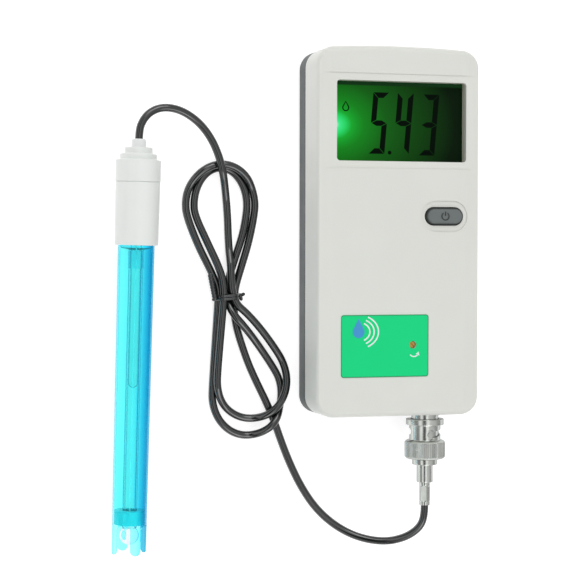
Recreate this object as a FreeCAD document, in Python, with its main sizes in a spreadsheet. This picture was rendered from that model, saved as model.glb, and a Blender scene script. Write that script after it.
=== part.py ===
"""Handheld pH meter lying on its back, with its probe and coiled lead beside it.

Millimetres. The origin is on the back face below the middle of the case, +Z out of the
front face, +Y towards the display end and +X to the right of a person reading the display.
"""
import FreeCAD, Part
import math
import os

import Sketcher

V = FreeCAD.Vector
Y_UP = FreeCAD.Rotation(V(1, 0, 0), -90)      # turns a primitive's own Z onto +Y

SIZES = {
    # case
    "case_width": 61.0, "case_height": 132.0, "case_depth": 26.0, "case_corner": 6.5,
    "top_arch": 1.1, "front_round": 2.3, "back_round": 3.0, "wall": 2.0,
    "split_height": 10.0, "seam_chamfer": 0.3,
    # raised panels and sunk display band of the front face
    "band_low": 22.35, "band_high": 56.1, "band_depth": 0.4,
    "ramp_start": 25.2, "ramp_width": 3.0, "ramp_drop": 0.4,
    # display
    "window_left": -23.4, "window_right": 25.3, "window_low": 25.0, "window_high": 53.5,
    "window_round": 1.2, "lcd_top": 21.5, "lcd_thickness": 2.8,
    "lcd_margin": 1.3, "frame_margin": 2.0, "zebra_width": 1.8, "guide_gap": 0.4,
    # power key
    "key_x": 16.9, "key_y": 5.55, "hole_length": 14.7, "hole_width": 6.7,
    "ring_length": 17.6, "ring_width": 11.2, "ring_depth": 0.5, "key_top": 27.2,
    "key_bevel": 0.9, "key_gap": 0.2, "key_skirt": 20.8, "skirt_wall": 1.2, "key_flange": 1.0,
    "key_overhang": 0.9, "key_play": 0.05, "key_travel": 1.1,
    "switch_side": 12.0, "switch_height": 3.6, "plunger_radius": 1.7, "plunger_gap": 0.1,
    "plunger_depth": 1.4,
    # calibration trimmer and its plate
    "plate_left": -21.9, "plate_right": 10.9, "plate_low": -51.8, "plate_high": -29.6,
    "plate_thickness": 0.2, "plate_round": 1.0, "trim_x": 5.0, "trim_y": -40.4,
    "trim_hole": 1.35, "trim_width": 4.8, "trim_length": 9.5, "trim_height": 9.9,
    "trim_edge": 1.6, "screw_radius": 1.15, "screw_gap": 0.05, "screw_top": 25.3,
    "screw_length": 3.0, "slot_width": 0.45, "slot_depth": 0.6, "slot_turn": -50.0,
    # circuit board
    "board_bottom": 12.0, "board_thickness": 1.6, "board_side": 27.5, "board_low": -48.0,
    "board_high": 56.0, "board_leg": 0.6, "board_step": -1.0,
    "stud_x": 25.6, "stud_y": 18.6, "foot_x": 24.6, "foot_y": -44.4, "stud_radius": 2.2,
    "small_pilot": 0.85, "small_shank": 0.8, "small_head": 1.8, "small_head_height": 1.3,
    "small_length": 6.0, "board_hole": 1.1,
    # case screws
    "boss_x": 25.2, "boss_high": 59.4, "boss_low": -60.2, "boss_inner": 3.5,
    "boss_radius": 2.9, "pilot_radius": 1.3, "shank_radius": 1.25, "head_radius": 2.3,
    "head_height": 1.6, "head_sink": 0.6, "bore_radius": 2.5, "clear_radius": 1.5,
    "pilot_top": 20.0, "bore_depth": 2.2,
    # battery and its door
    "battery_left": -27.2, "battery_width": 26.5, "battery_low": -56.5,
    "battery_length": 46.4, "battery_low_z": 2.3, "battery_thickness": 17.5,
    "battery_round": 2.0, "terminal_radius": 2.9, "terminal_height": 2.1,
    "terminal_pitch": 12.7, "snap_thickness": 3.4, "snap_depth": 13.0, "snap_width": 24.5,
    "lead_radius": 0.6, "lead_length": 6.0, "lead_z": 6.0, "wire_pitch": 2.25,
    "door_left": -27.4, "door_right": -0.5, "door_high": -9.5, "door_gap": 0.2,
    "door_thickness": 1.9, "tongue": 0.8, "tongue_low": 0.9, "tongue_high": 1.5,
    "grip_width": 14.0, "grip_depth": 0.4, "grip_pitch": 1.6, "grip_groove": 0.8,
    # socket for the probe plug
    "socket_x": 13.4, "socket_z": 16.0, "socket_hole": 5.05, "barrel_radius": 4.95,
    "barrel_bore": 4.05, "barrel_front": -78.0, "barrel_floor": -68.5,
    "rim_radius": 5.4, "rim_front": -66.5, "jack_back": -58.0,
    "jack_nut_radius": 6.3, "jack_nut_front": -63.2, "jack_nut_back": -60.8,
    "lock_washer_radius": 5.9, "insulator_radius": 2.4,
    "insulator_front": -76.5, "contact_radius": 0.9, "contact_bore": 0.72,
    "contact_front": -76.0, "contact_floor": -70.0, "contact_back": -55.5,
    "lug_radius": 0.9, "lug_tip": 5.35, "lug_root": 4.4, "lug_y": -73.6, "lug_angle": 1.0,
    # plug
    "nut_front": -67.95, "flange_back": -70.15, "grip_front": -75.7, "grip_back": -82.5,
    "nut_bore": 5.1, "nut_barrel": 5.7, "nut_flange": 6.9, "grip_radius": 7.4,
    "grip_chamfer": 0.8, "cavity_radius": 6.1, "cavity_front": -77.5,
    "cavity_back": -81.5, "lip_bore": 4.05, "slot_half": 1.1, "slot_reach": 5.9,
    "slot_end": 1.9, "entry_reach": 5.45,
    "unlock_pull": 1.05, "unlock_turn": 85.0,
    "sleeve_radius": 3.85, "sleeve_bore": 3.0, "sleeve_front": -70.0,
    "washer_front": -79.0, "washer_back": -80.0, "plug_flange": 5.85,
    "collar_radius": 4.6, "collar_front": -82.6, "collar_back": -84.7,
    "tail_radius": 2.95, "tail_back": -91.2, "core_radius": 2.0,
    "gasket_outer": 4.6, "gasket_front": -78.15, "spring_bore": 4.1, "pin_radius": 0.65,
    "pin_front": -71.5, "pin_back": -88.0, "crimp_radius": 1.95, "crimp_back": -99.6,
    # cord
    "cord_radius": 1.4, "lobe_upper_radius": 14.05, "lobe_upper_x": -60.05,
    "lobe_upper_y": 11.05, "lobe_lower_radius": 14.95, "lobe_lower_x": -49.35,
    "lobe_lower_y": -60.25, "waist_x": -57.55, "waist_y": -23.3, "waist_half": 5.55,
    "hank_height": 7.0, "tie_width": 3.2, "tie_thickness": 0.8, "tail_length": 11.0,
    "tail_width": 1.7, "tail_thickness": 1.0, "tail_turn": 12.0,
    # probe, measured along its axis from the top of its cap, + towards the cord
    "probe_x": -90.97, "probe_y": 25.0, "probe_yaw": -1.33, "probe_tilt": 0.84,
    "gland_top": 7.3, "gland_foot": 4.4, "gland_tip_radius": 2.4, "gland_radius": 2.65,
    "neck_foot": 2.1, "neck_radius": 4.9, "ledge_radius": 6.5, "cap_radius": 8.0,
    "cap_split": -7.8, "cap_groove": 0.25, "cap_foot": -30.0, "cap_foot_radius": 7.7,
    "tube_top": -20.0, "tube_radius": 6.5, "tube_foot_radius": 6.1,
    "tube_foot": -123.6, "tube_bore": 5.6, "ring_foot": -128.7, "guard_foot": -139.1,
    "guard_inner": 5.0, "guard_width": 3.4, "guard_round": 1.6, "guard_turn": 13.0,
    "stopper_top": -28.5, "stopper_foot": -31.2, "stopper_radius": 5.5,
    "stem_radius": 2.55, "stem_bore": 1.95, "stem_top": -22.0, "stem_foot": -130.1,
    "bulb_radius": 3.4, "bulb_centre": -132.6, "wick_radius": 1.7, "wick_bore": 1.2, "wick_top": -24.0,
    "wick_foot": -80.0, "wire_radius": 0.2, "wire_top": -18.0, "wire_foot": -127.5,
}

doc = FreeCAD.newDocument("ph_meter")
sheet = doc.addObject("Spreadsheet::Sheet", "Sizes")
for row, (alias, number) in enumerate(SIZES.items(), 1):
    sheet.set(f"A{row}", alias)
    sheet.set(f"B{row}", str(number))
    sheet.setAlias(f"B{row}", alias)
doc.recompute()

NODES = []          # the finished sub-parts, in the order they are made


# ---------------------------------------------------------------- helpers

def size(expression):
    """Number that an expression of the sheet's cells stands for."""
    return float(sheet.evalExpression(str(expression)))


def node(item, label):
    """Names a finished sub-part, which is then written to a file of that name."""
    item.Label = label
    NODES.append(item)
    return item


def box(low, high, name="Box"):
    """Box between two corners given as expressions."""
    item = doc.addObject("Part::Box", name)
    for side, axis, start, end in zip(("Length", "Width", "Height"), "xyz", low, high):
        item.setExpression(side, f"({end}) - ({start})")
        item.setExpression(f".Placement.Base.{axis}", f"{start}")
    return item


def cylinder(radius, start, end, centre, along="z", name="Cylinder"):
    """Cylinder from start to end along Z or Y, centred on two expressions."""
    item = doc.addObject("Part::Cylinder", name)
    item.setExpression("Radius", f"{radius}")
    item.setExpression("Height", f"({end}) - ({start})")
    if along == "y":
        item.Placement = FreeCAD.Placement(V(), Y_UP)
        base = (centre[0], start, centre[1])
    else:
        base = (centre[0], centre[1], start)
    for axis, place in zip("xyz", base):
        item.setExpression(f".Placement.Base.{axis}", f"{place}")
    return item


def fuse(pieces, name="Fuse"):
    item = doc.addObject("Part::MultiFuse", name)
    item.Shapes = pieces
    return item


def cut(base, tools, name="Cut"):
    item = doc.addObject("Part::Cut", name)
    item.Base = base
    item.Tool = tools[0] if len(tools) == 1 else fuse(tools)
    return item


def new_body(name):
    return doc.addObject("PartDesign::Body", name + "_body")


def sketch(body, role, name, lift="0"):
    """Sketch on one of the body's own planes, lifted along the plane's normal."""
    item = body.newObject("Sketcher::SketchObject", name)
    plane = [f for f in body.Origin.OriginFeatures if f.Role == role][0]
    item.AttachmentSupport = [(plane, "")]
    item.MapMode = "FlatFace"
    item.setExpression(".AttachmentOffset.Base.z", f"{lift}")
    return item


def pin_point(item, geometry, end, place):
    """Ties one point of a sketch to two expressions, measured from its origin."""
    for kind, expression in zip(("DistanceX", "DistanceY"), place):
        number = size(expression)
        if abs(number) < 1e-9:
            axis = -2 if kind == "DistanceX" else -1
            item.addConstraint(Sketcher.Constraint("PointOnObject", geometry, end, axis))
            continue
        row = item.addConstraint(Sketcher.Constraint(kind, -1, 1, geometry, end, number))
        item.setExpression(f"Constraints[{row}]", f"{expression}")


def polygon(item, corners):
    """Closed outline of straight edges; each corner is a pair of expressions."""
    places = [V(size(x), size(y), 0) for x, y in corners]
    count = len(places)
    for index in range(count):
        line = Part.LineSegment(places[index], places[(index + 1) % count])
        item.addGeometry(line, False)
    for index in range(count):
        joint = Sketcher.Constraint("Coincident", index, 2, (index + 1) % count, 1)
        item.addConstraint(joint)
    for index, corner in enumerate(corners):
        pin_point(item, index, 1, corner)
    return item


def rectangle(item, left, right, low, high):
    return polygon(item, [(left, low), (right, low), (right, high), (left, high)])


def stadium(item, centre, length, width):
    """Outline with two straight sides and two half-round ends, long along X."""
    (x, y), radius = centre, size(width) / 2
    half = f"(({length}) - ({width})) / 2"
    right, left = size(x) + size(half), size(x) - size(half)
    level, quarter = size(y), math.pi / 2
    up = V(0, 0, 1)
    item.addGeometry(Part.LineSegment(V(left, level - radius, 0), V(right, level - radius, 0)))
    item.addGeometry(Part.ArcOfCircle(Part.Circle(V(right, level, 0), up, radius),
                                      -quarter, quarter))
    item.addGeometry(Part.LineSegment(V(right, level + radius, 0), V(left, level + radius, 0)))
    item.addGeometry(Part.ArcOfCircle(Part.Circle(V(left, level, 0), up, radius),
                                      quarter, 3 * quarter))
    for index in range(4):
        joint = Sketcher.Constraint("Tangent", index, 2, (index + 1) % 4, 1)
        item.addConstraint(joint)
    item.addConstraint(Sketcher.Constraint("Equal", 1, 3))
    row = item.addConstraint(Sketcher.Constraint("Radius", 1, radius))
    item.setExpression(f"Constraints[{row}]", f"({width}) / 2")
    pin_point(item, 1, 3, (f"({x}) + {half}", y))
    pin_point(item, 3, 3, (f"({x}) - {half}", y))
    return item


def circles(item, centres, radius):
    """Circles of one radius at several places."""
    for index, (x, y) in enumerate(centres):
        item.addGeometry(Part.Circle(V(size(x), size(y), 0), V(0, 0, 1), size(radius)))
        row = item.addConstraint(Sketcher.Constraint("Radius", index, size(radius)))
        item.setExpression(f"Constraints[{row}]", f"{radius}")
        pin_point(item, index, 3, (x, y))
    return item


def pad(body, profile, length, down=False):
    item = body.newObject("PartDesign::Pad", "Pad")
    item.Profile = profile
    item.setExpression("Length", f"{length}")
    item.Reversed = down
    return item


def pocket(body, profile, length, up=False):
    """Removes material below the sketch, or above it, and checks that it did."""
    doc.recompute()
    before = body.Shape.Volume
    item = body.newObject("PartDesign::Pocket", "Pocket")
    item.Profile = profile
    item.setExpression("Length", f"{length}")
    item.Reversed = up
    doc.recompute()
    if body.Shape.Volume > before - 1e-3:
        raise ValueError(f"{body.Label}: {profile.Label} removed nothing")
    return item


def edges_where(feature, wanted):
    doc.recompute()
    return [f"Edge{number}" for number, edge in enumerate(feature.Shape.Edges, 1)
            if wanted(edge)]


def fillet(body, feature, wanted, radius):
    item = body.newObject("PartDesign::Fillet", "Fillet")
    item.Base = (feature, edges_where(feature, wanted))
    item.setExpression("Radius", f"{radius}")
    doc.recompute()
    return item


def chamfer(body, feature, wanted, length):
    item = body.newObject("PartDesign::Chamfer", "Chamfer")
    item.Base = (feature, edges_where(feature, wanted))
    item.setExpression("Size", f"{length}")
    doc.recompute()
    return item


def upright(edge):
    """True for a straight edge along Z."""
    box_ = edge.BoundBox
    return box_.ZLength > 0.1 and box_.XLength < 1e-6 and box_.YLength < 1e-6


def at_height(level):
    """Test for edges that lie wholly at one height."""
    return lambda edge: (abs(edge.BoundBox.ZMin - level) < 1e-4
                         and abs(edge.BoundBox.ZMax - level) < 1e-4)


def turned(label, profile, place=None):
    """Body turned about the Y axis; the profile is a list of (radius, y) expressions."""
    body = new_body(label)
    outline = polygon(sketch(body, "XY_Plane", label + "_profile"), profile)
    item = body.newObject("PartDesign::Revolution", "Revolution")
    item.Profile = outline
    item.ReferenceAxis = (outline, ["V_Axis"])
    item.Angle = 360
    if place is not None:
        body.Placement = place
    doc.recompute()
    return node(body, label)


def tube_profile(outer, inner, start, end):
    return [(inner, start), (outer, start), (outer, end), (inner, end)]


# ---------------------------------------------------------------- case

HALF_WIDTH = "Sizes.case_width / 2"
HALF_HEIGHT = "Sizes.case_height / 2"
ARCH_RADIUS = ("((Sizes.case_width ^ 2 / 4 + Sizes.top_arch ^ 2)"
               " / (2 * Sizes.top_arch))")
INNER_TOP = "Sizes.case_depth - Sizes.wall"
BOARD_TOP = "Sizes.board_bottom + Sizes.board_thickness"
CASE_SCREWS = [("-Sizes.boss_x", "Sizes.boss_high"), ("Sizes.boss_x", "Sizes.boss_high"),
               ("Sizes.boss_inner", "Sizes.boss_low"), ("Sizes.boss_x", "Sizes.boss_low")]
BOARD_SCREWS = [("-Sizes.stud_x", "Sizes.stud_y"), ("Sizes.stud_x", "Sizes.stud_y"),
                ("Sizes.foot_x", "Sizes.foot_y")]


def case_outline(item, inset):
    """Case seen from the front: rounded corners and an arched top edge, walked leftwards."""
    inset_size = size(inset)
    side = size(HALF_WIDTH) - inset_size
    foot = inset_size - size(HALF_HEIGHT)
    radius = size("Sizes.case_corner") - inset_size
    arch = size(ARCH_RADIUS) - inset_size
    arch_y = size(HALF_HEIGHT) - size(ARCH_RADIUS)
    corner_x, low_y = side - radius, foot + radius
    high_y = arch_y + math.sqrt((arch - radius) ** 2 - corner_x ** 2)
    lean = math.atan2(high_y - arch_y, corner_x)
    quarter = math.pi / 2

    def arc(x, y, bend, start, end):
        return Part.ArcOfCircle(Part.Circle(V(x, y, 0), V(0, 0, 1), bend), start, end)

    item.addGeometry([
        Part.LineSegment(V(-corner_x, foot, 0), V(corner_x, foot, 0)),
        arc(corner_x, low_y, radius, -quarter, 0),
        Part.LineSegment(V(side, low_y, 0), V(side, high_y, 0)),
        arc(corner_x, high_y, radius, 0, lean),
        arc(0, arch_y, arch, lean, math.pi - lean),
        arc(-corner_x, high_y, radius, math.pi - lean, math.pi),
        Part.LineSegment(V(-side, high_y, 0), V(-side, low_y, 0)),
        arc(-corner_x, low_y, radius, math.pi, 3 * quarter)], False)
    for index in range(8):
        item.addConstraint(Sketcher.Constraint("Tangent", index, 2, (index + 1) % 8, 1))
    for other in (3, 5, 7):
        item.addConstraint(Sketcher.Constraint("Equal", 1, other))
    for kind, line in (("Horizontal", 0), ("Vertical", 2), ("Vertical", 6)):
        item.addConstraint(Sketcher.Constraint(kind, line))
    item.addConstraint(Sketcher.Constraint("PointOnObject", 4, 3, -2))
    for kind, geometry, end, number, expression in (
            ("DistanceX", 2, 1, side, f"{HALF_WIDTH} - {inset}"),
            ("DistanceX", 6, 1, -side, f"{inset} - {HALF_WIDTH}"),
            ("DistanceY", 0, 1, foot, f"{inset} - {HALF_HEIGHT}"),
            ("DistanceY", 4, 3, arch_y, f"{HALF_HEIGHT} - {ARCH_RADIUS}")):
        row = item.addConstraint(Sketcher.Constraint(kind, -1, 1, geometry, end, number))
        item.setExpression(f"Constraints[{row}]", expression)
    for geometry, number, expression in ((1, radius, f"Sizes.case_corner - {inset}"),
                                         (4, arch, f"{ARCH_RADIUS} - {inset}")):
        row = item.addConstraint(Sketcher.Constraint("Radius", geometry, number))
        item.setExpression(f"Constraints[{row}]", expression)
    return item


def case_half(name, low, high, round_level, radius):
    """Hollow half of the case between two heights, rounded round its outer face."""
    body = new_body(name)
    block = pad(body, case_outline(sketch(body, "XY_Plane", name + "_outline", low), "0"),
                f"({high}) - ({low})")
    seam = size(high) if abs(size(low) - round_level) < 1e-6 else size(low)
    rounded = fillet(body, block, at_height(round_level), radius)
    chamfer(body, rounded, at_height(seam), "Sizes.seam_chamfer")
    hollow_low, hollow_high = low, f"{high} - Sizes.wall"
    if seam > round_level:
        hollow_low, hollow_high = f"{low} + Sizes.wall", high
    inner = case_outline(sketch(body, "XY_Plane", name + "_hollow", hollow_low),
                         "Sizes.wall")
    pocket(body, inner, f"({hollow_high}) - ({hollow_low})", up=True)
    return body


def front_shell():
    top = size("Sizes.case_depth")
    body = case_half("front_shell", "Sizes.split_height", "Sizes.case_depth", top,
                     "Sizes.front_round")
    # display band right across, and the shallow ramps at both sides of the raised panels
    band = rectangle(sketch(body, "XY_Plane", "band", "Sizes.case_depth"),
                     f"-{HALF_WIDTH} - 1", f"{HALF_WIDTH} + 1",
                     "Sizes.band_low", "Sizes.band_high")
    pocket(body, band, "Sizes.band_depth")
    for side in ("", "-"):
        ramp = polygon(sketch(body, "XZ_Plane", "ramp", f"{HALF_HEIGHT} + 1"),
                       [(f"{side}Sizes.ramp_start", "Sizes.case_depth"),
                        (f"{side}(Sizes.ramp_start + 3 * Sizes.ramp_width)",
                         "Sizes.case_depth - 3 * Sizes.ramp_drop"),
                        (f"{side}(Sizes.ramp_start + 3 * Sizes.ramp_width)",
                         "Sizes.case_depth + 1"),
                        (f"{side}Sizes.ramp_start", "Sizes.case_depth + 1")])
        pocket(body, ramp, "Sizes.case_height + 2")
    # display window with rounded corners
    window = rectangle(sketch(body, "XY_Plane", "window", "Sizes.case_depth"),
                       "Sizes.window_left", "Sizes.window_right",
                       "Sizes.window_low", "Sizes.window_high")
    opened = pocket(body, window, "Sizes.wall + 1")
    sides = (size("Sizes.window_left"), size("Sizes.window_right"))
    fillet(body, opened,
           lambda edge: upright(edge) and any(abs(edge.BoundBox.XMin - s) < 1e-4 for s in sides)
           and size("Sizes.band_low") < edge.BoundBox.YMin < size("Sizes.band_high"),
           "Sizes.window_round")
    # guide skirt of the power key, its sunk ring and its hole
    centre = ("Sizes.key_x", "Sizes.key_y")
    skirt = stadium(sketch(body, "XY_Plane", "key_skirt", "Sizes.key_skirt"), centre,
                    "Sizes.hole_length + 2 * Sizes.skirt_wall",
                    "Sizes.hole_width + 2 * Sizes.skirt_wall")
    pad(body, skirt, f"{INNER_TOP} + Sizes.wall / 2 - Sizes.key_skirt")
    ring = stadium(sketch(body, "XY_Plane", "key_ring", "Sizes.case_depth"), centre,
                   "Sizes.ring_length", "Sizes.ring_width")
    pocket(body, ring, "Sizes.ring_depth")
    hole = stadium(sketch(body, "XY_Plane", "key_hole", "Sizes.case_depth"), centre,
                   "Sizes.hole_length", "Sizes.hole_width")
    pocket(body, hole, "Sizes.case_depth - Sizes.key_skirt + 1")
    # hole above the trimmer and hole for the socket
    trim = circles(sketch(body, "XY_Plane", "trim_hole", "Sizes.case_depth"),
                   [("Sizes.trim_x", "Sizes.trim_y")], "Sizes.trim_hole")
    pocket(body, trim, "Sizes.wall + 1")
    socket = circles(sketch(body, "XZ_Plane", "socket_hole", f"{HALF_HEIGHT} + 1"),
                     [("Sizes.socket_x", "Sizes.socket_z")], "Sizes.socket_hole")
    pocket(body, socket, "Sizes.wall + 2")
    # bosses for the case screws and the board screws, with their pilot holes
    root = f"{INNER_TOP} + Sizes.wall / 2"
    for name, places, low, radius, pilot in (
            ("case_boss", CASE_SCREWS, "Sizes.split_height", "Sizes.boss_radius",
             "Sizes.pilot_radius"),
            ("board_boss", BOARD_SCREWS, BOARD_TOP, "Sizes.stud_radius",
             "Sizes.small_pilot")):
        boss = circles(sketch(body, "XY_Plane", name, low), places, radius)
        pad(body, boss, f"{root} - ({low})")
        bore = circles(sketch(body, "XY_Plane", name + "_pilot", low), places, pilot)
        pocket(body, bore, f"Sizes.pilot_top - ({low})", up=True)
    node(body, "front_shell")


def back_shell():
    body = case_half("back_shell", "0", "Sizes.split_height", 0, "Sizes.back_round")
    boss = circles(sketch(body, "XY_Plane", "boss", "Sizes.wall / 2"), CASE_SCREWS,
                   "Sizes.boss_radius")
    pad(body, boss, "Sizes.split_height - Sizes.wall / 2")
    bore = circles(sketch(body, "XY_Plane", "head_bore"), CASE_SCREWS, "Sizes.bore_radius")
    pocket(body, bore, "Sizes.bore_depth", up=True)
    through = circles(sketch(body, "XY_Plane", "screw_hole"), CASE_SCREWS,
                      "Sizes.clear_radius")
    pocket(body, through, "Sizes.split_height", up=True)
    # battery opening, which runs out at the foot, and the grooves for the door's tongues
    opening = rectangle(sketch(body, "XY_Plane", "battery_opening"), "Sizes.door_left",
                        "Sizes.door_right", f"-{HALF_HEIGHT} - 1", "Sizes.door_high")
    pocket(body, opening, "Sizes.door_thickness + Sizes.door_gap", up=True)
    groove = rectangle(sketch(body, "XY_Plane", "door_groove",
                              "Sizes.tongue_low - Sizes.door_gap"),
                       "Sizes.door_left - Sizes.tongue - Sizes.door_gap",
                       "Sizes.door_right + Sizes.tongue + Sizes.door_gap",
                       f"-{HALF_HEIGHT} - 1", "Sizes.door_high")
    pocket(body, groove, "Sizes.tongue_high - Sizes.tongue_low + 2 * Sizes.door_gap", up=True)
    node(body, "back_shell")


def battery_door():
    """Door cut from the case's own outer form, with tongues and a ribbed thumb grip."""
    body = new_body("battery_door")
    block = pad(body, case_outline(sketch(body, "XY_Plane", "door_outline"), "0"),
                "Sizes.split_height")
    fillet(body, block, at_height(0), "Sizes.back_round")
    slab = box(("Sizes.door_left + Sizes.door_gap", f"-{HALF_HEIGHT} - 1", "0"),
               ("Sizes.door_right - Sizes.door_gap", "Sizes.door_high - Sizes.door_gap",
                "Sizes.door_thickness"))
    tongue = box(("Sizes.door_left - Sizes.tongue", f"-{HALF_HEIGHT} + Sizes.case_corner",
                  "Sizes.tongue_low"),
                 ("Sizes.door_right + Sizes.tongue", "Sizes.door_high - Sizes.door_gap",
                  "Sizes.tongue_high"))
    plate = doc.addObject("Part::MultiCommon", "door_plate")
    plate.Shapes = [body, fuse([slab, tongue])]
    centre = "(Sizes.door_left + Sizes.door_right) / 2"
    grooves = []
    for index in range(5):
        start = f"-{HALF_HEIGHT} + 2 * Sizes.case_corner + {index} * Sizes.grip_pitch"
        grooves.append(box((f"{centre} - Sizes.grip_width / 2", start, "-1"),
                           (f"{centre} + Sizes.grip_width / 2",
                            f"{start} + Sizes.grip_groove", "Sizes.grip_depth")))
    node(cut(plate, grooves), "battery_door")


def case_screws():
    """Four pan-head screws, driven from the back, as one node of separate solids."""
    head_low = "Sizes.head_sink"
    head_high = "Sizes.head_sink + Sizes.head_height"
    solids = []
    for place in CASE_SCREWS:
        head = cylinder("Sizes.head_radius", head_low, head_high, place)
        shank = cylinder("Sizes.shank_radius", head_high, "Sizes.pilot_top - 1", place)
        slot = box((f"{place[0]} - Sizes.head_radius", f"{place[1]} - Sizes.slot_width",
                    "0"),
                   (f"{place[0]} + Sizes.head_radius", f"{place[1]} + Sizes.slot_width",
                    f"{head_low} + Sizes.slot_depth"))
        solids.append(cut(fuse([head, shank]), [slot]))
    node(fuse(solids), "case_screws")


def front_plate():
    body = new_body("front_plate")
    outline = rectangle(sketch(body, "XY_Plane", "plate_outline", "Sizes.case_depth"),
                        "Sizes.plate_left", "Sizes.plate_right",
                        "Sizes.plate_low", "Sizes.plate_high")
    block = pad(body, outline, "Sizes.plate_thickness")
    fillet(body, block, upright, "Sizes.plate_round")
    hole = circles(sketch(body, "XY_Plane", "plate_hole", "Sizes.case_depth"),
                   [("Sizes.trim_x", "Sizes.trim_y")], "Sizes.trim_hole")
    pocket(body, hole, "Sizes.plate_thickness", up=True)
    node(body, "front_plate")


# ---------------------------------------------------------------- display and board

LCD_LEFT = "Sizes.window_left - Sizes.lcd_margin"
LCD_RIGHT = "Sizes.window_right + Sizes.lcd_margin"
LCD_LOW = "Sizes.window_low - Sizes.lcd_margin"
LCD_HIGH = "Sizes.window_high + Sizes.lcd_margin"
LCD_BOTTOM = "Sizes.lcd_top - Sizes.lcd_thickness"


def display():
    """LCD panel, its well frame, the light guide behind it, LED and contact strips."""
    panel = box((LCD_LEFT, LCD_LOW, LCD_BOTTOM), (LCD_RIGHT, LCD_HIGH, "Sizes.lcd_top"))
    node(panel, "lcd_panel")
    outer = box(("Sizes.window_left - Sizes.frame_margin",
                 "Sizes.window_low - Sizes.frame_margin", LCD_BOTTOM),
                ("Sizes.window_right + Sizes.frame_margin",
                 "Sizes.window_high + Sizes.frame_margin", INNER_TOP))
    seat = box((LCD_LEFT, LCD_LOW, LCD_BOTTOM), (LCD_RIGHT, LCD_HIGH, "Sizes.lcd_top"))
    well = box(("Sizes.window_left", "Sizes.window_low", LCD_BOTTOM),
               ("Sizes.window_right", "Sizes.window_high", "Sizes.case_depth"))
    node(cut(outer, [seat, well]), "lcd_frame")
    strips = []
    for low, high in ((LCD_LOW, f"{LCD_LOW} + Sizes.zebra_width"),
                      (f"{LCD_HIGH} - Sizes.zebra_width", LCD_HIGH)):
        strips.append(box((LCD_LEFT, low, BOARD_TOP), (LCD_RIGHT, high, LCD_BOTTOM)))
    node(fuse(strips), "zebra_strips")
    inset = "(Sizes.zebra_width + Sizes.guide_gap)"
    guide = box((f"{LCD_LEFT} + 3", f"{LCD_LOW} + {inset}", BOARD_TOP),
                (LCD_RIGHT, f"{LCD_HIGH} - {inset}", f"{LCD_BOTTOM} - Sizes.key_play"))
    node(guide, "backlight_guide")
    middle = "(Sizes.window_low + Sizes.window_high) / 2"
    led = box((LCD_LEFT, f"{middle} - 2.4", BOARD_TOP),
              (f"{LCD_LEFT} + 2.8", f"{middle} + 2.4", f"{BOARD_TOP} + 2.8"))
    node(led, "backlight_led")


def main_board():
    """L-shaped circuit board: full width behind the display, one leg beside the battery."""
    body = new_body("main_board")
    outline = polygon(sketch(body, "XY_Plane", "board_outline", "Sizes.board_bottom"),
                      [("-Sizes.board_side", "Sizes.board_step"),
                       ("Sizes.board_leg", "Sizes.board_step"),
                       ("Sizes.board_leg", "Sizes.board_low"),
                       ("Sizes.board_side", "Sizes.board_low"),
                       ("Sizes.board_side", "Sizes.board_high"),
                       ("-Sizes.board_side", "Sizes.board_high")])
    pad(body, outline, "Sizes.board_thickness")
    holes = circles(sketch(body, "XY_Plane", "board_holes", "Sizes.board_bottom"),
                    BOARD_SCREWS, "Sizes.board_hole")
    pocket(body, holes, "Sizes.board_thickness", up=True)
    node(body, "main_board")


def board_screws():
    solids = []
    for place in BOARD_SCREWS:
        head = cylinder("Sizes.small_head", "Sizes.board_bottom - Sizes.small_head_height",
                        "Sizes.board_bottom", place)
        shank = cylinder("Sizes.small_shank", "Sizes.board_bottom",
                         "Sizes.board_bottom + Sizes.small_length", place)
        solids.append(fuse([head, shank]))
    node(fuse(solids), "board_screws")


# Components on the board: a chip's (left, low, width, length, height), and a can's
# (centre x, centre y, radius, height).
CHIPS = {"converter_chip": (-14.0, 3.0, 10.5, 10.5, 2.0),
         "amplifier_chip": (11.0, -20.0, 5.0, 6.2, 1.7)}
CANS = [(20.0, -14.0, 2.5, 6.0), (22.0, -24.0, 2.5, 6.0), (-20.5, 7.5, 2.0, 5.0)]


def chips():
    for label, (left, low, width, length, height) in CHIPS.items():
        node(box((left, low, BOARD_TOP), (left + width, low + length,
                                          f"{BOARD_TOP} + {height}")), label)
    cans = [cylinder(radius, BOARD_TOP, f"{BOARD_TOP} + {height}", (x, y))
            for x, y, radius, height in CANS]
    node(fuse(cans), "capacitors")


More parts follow.
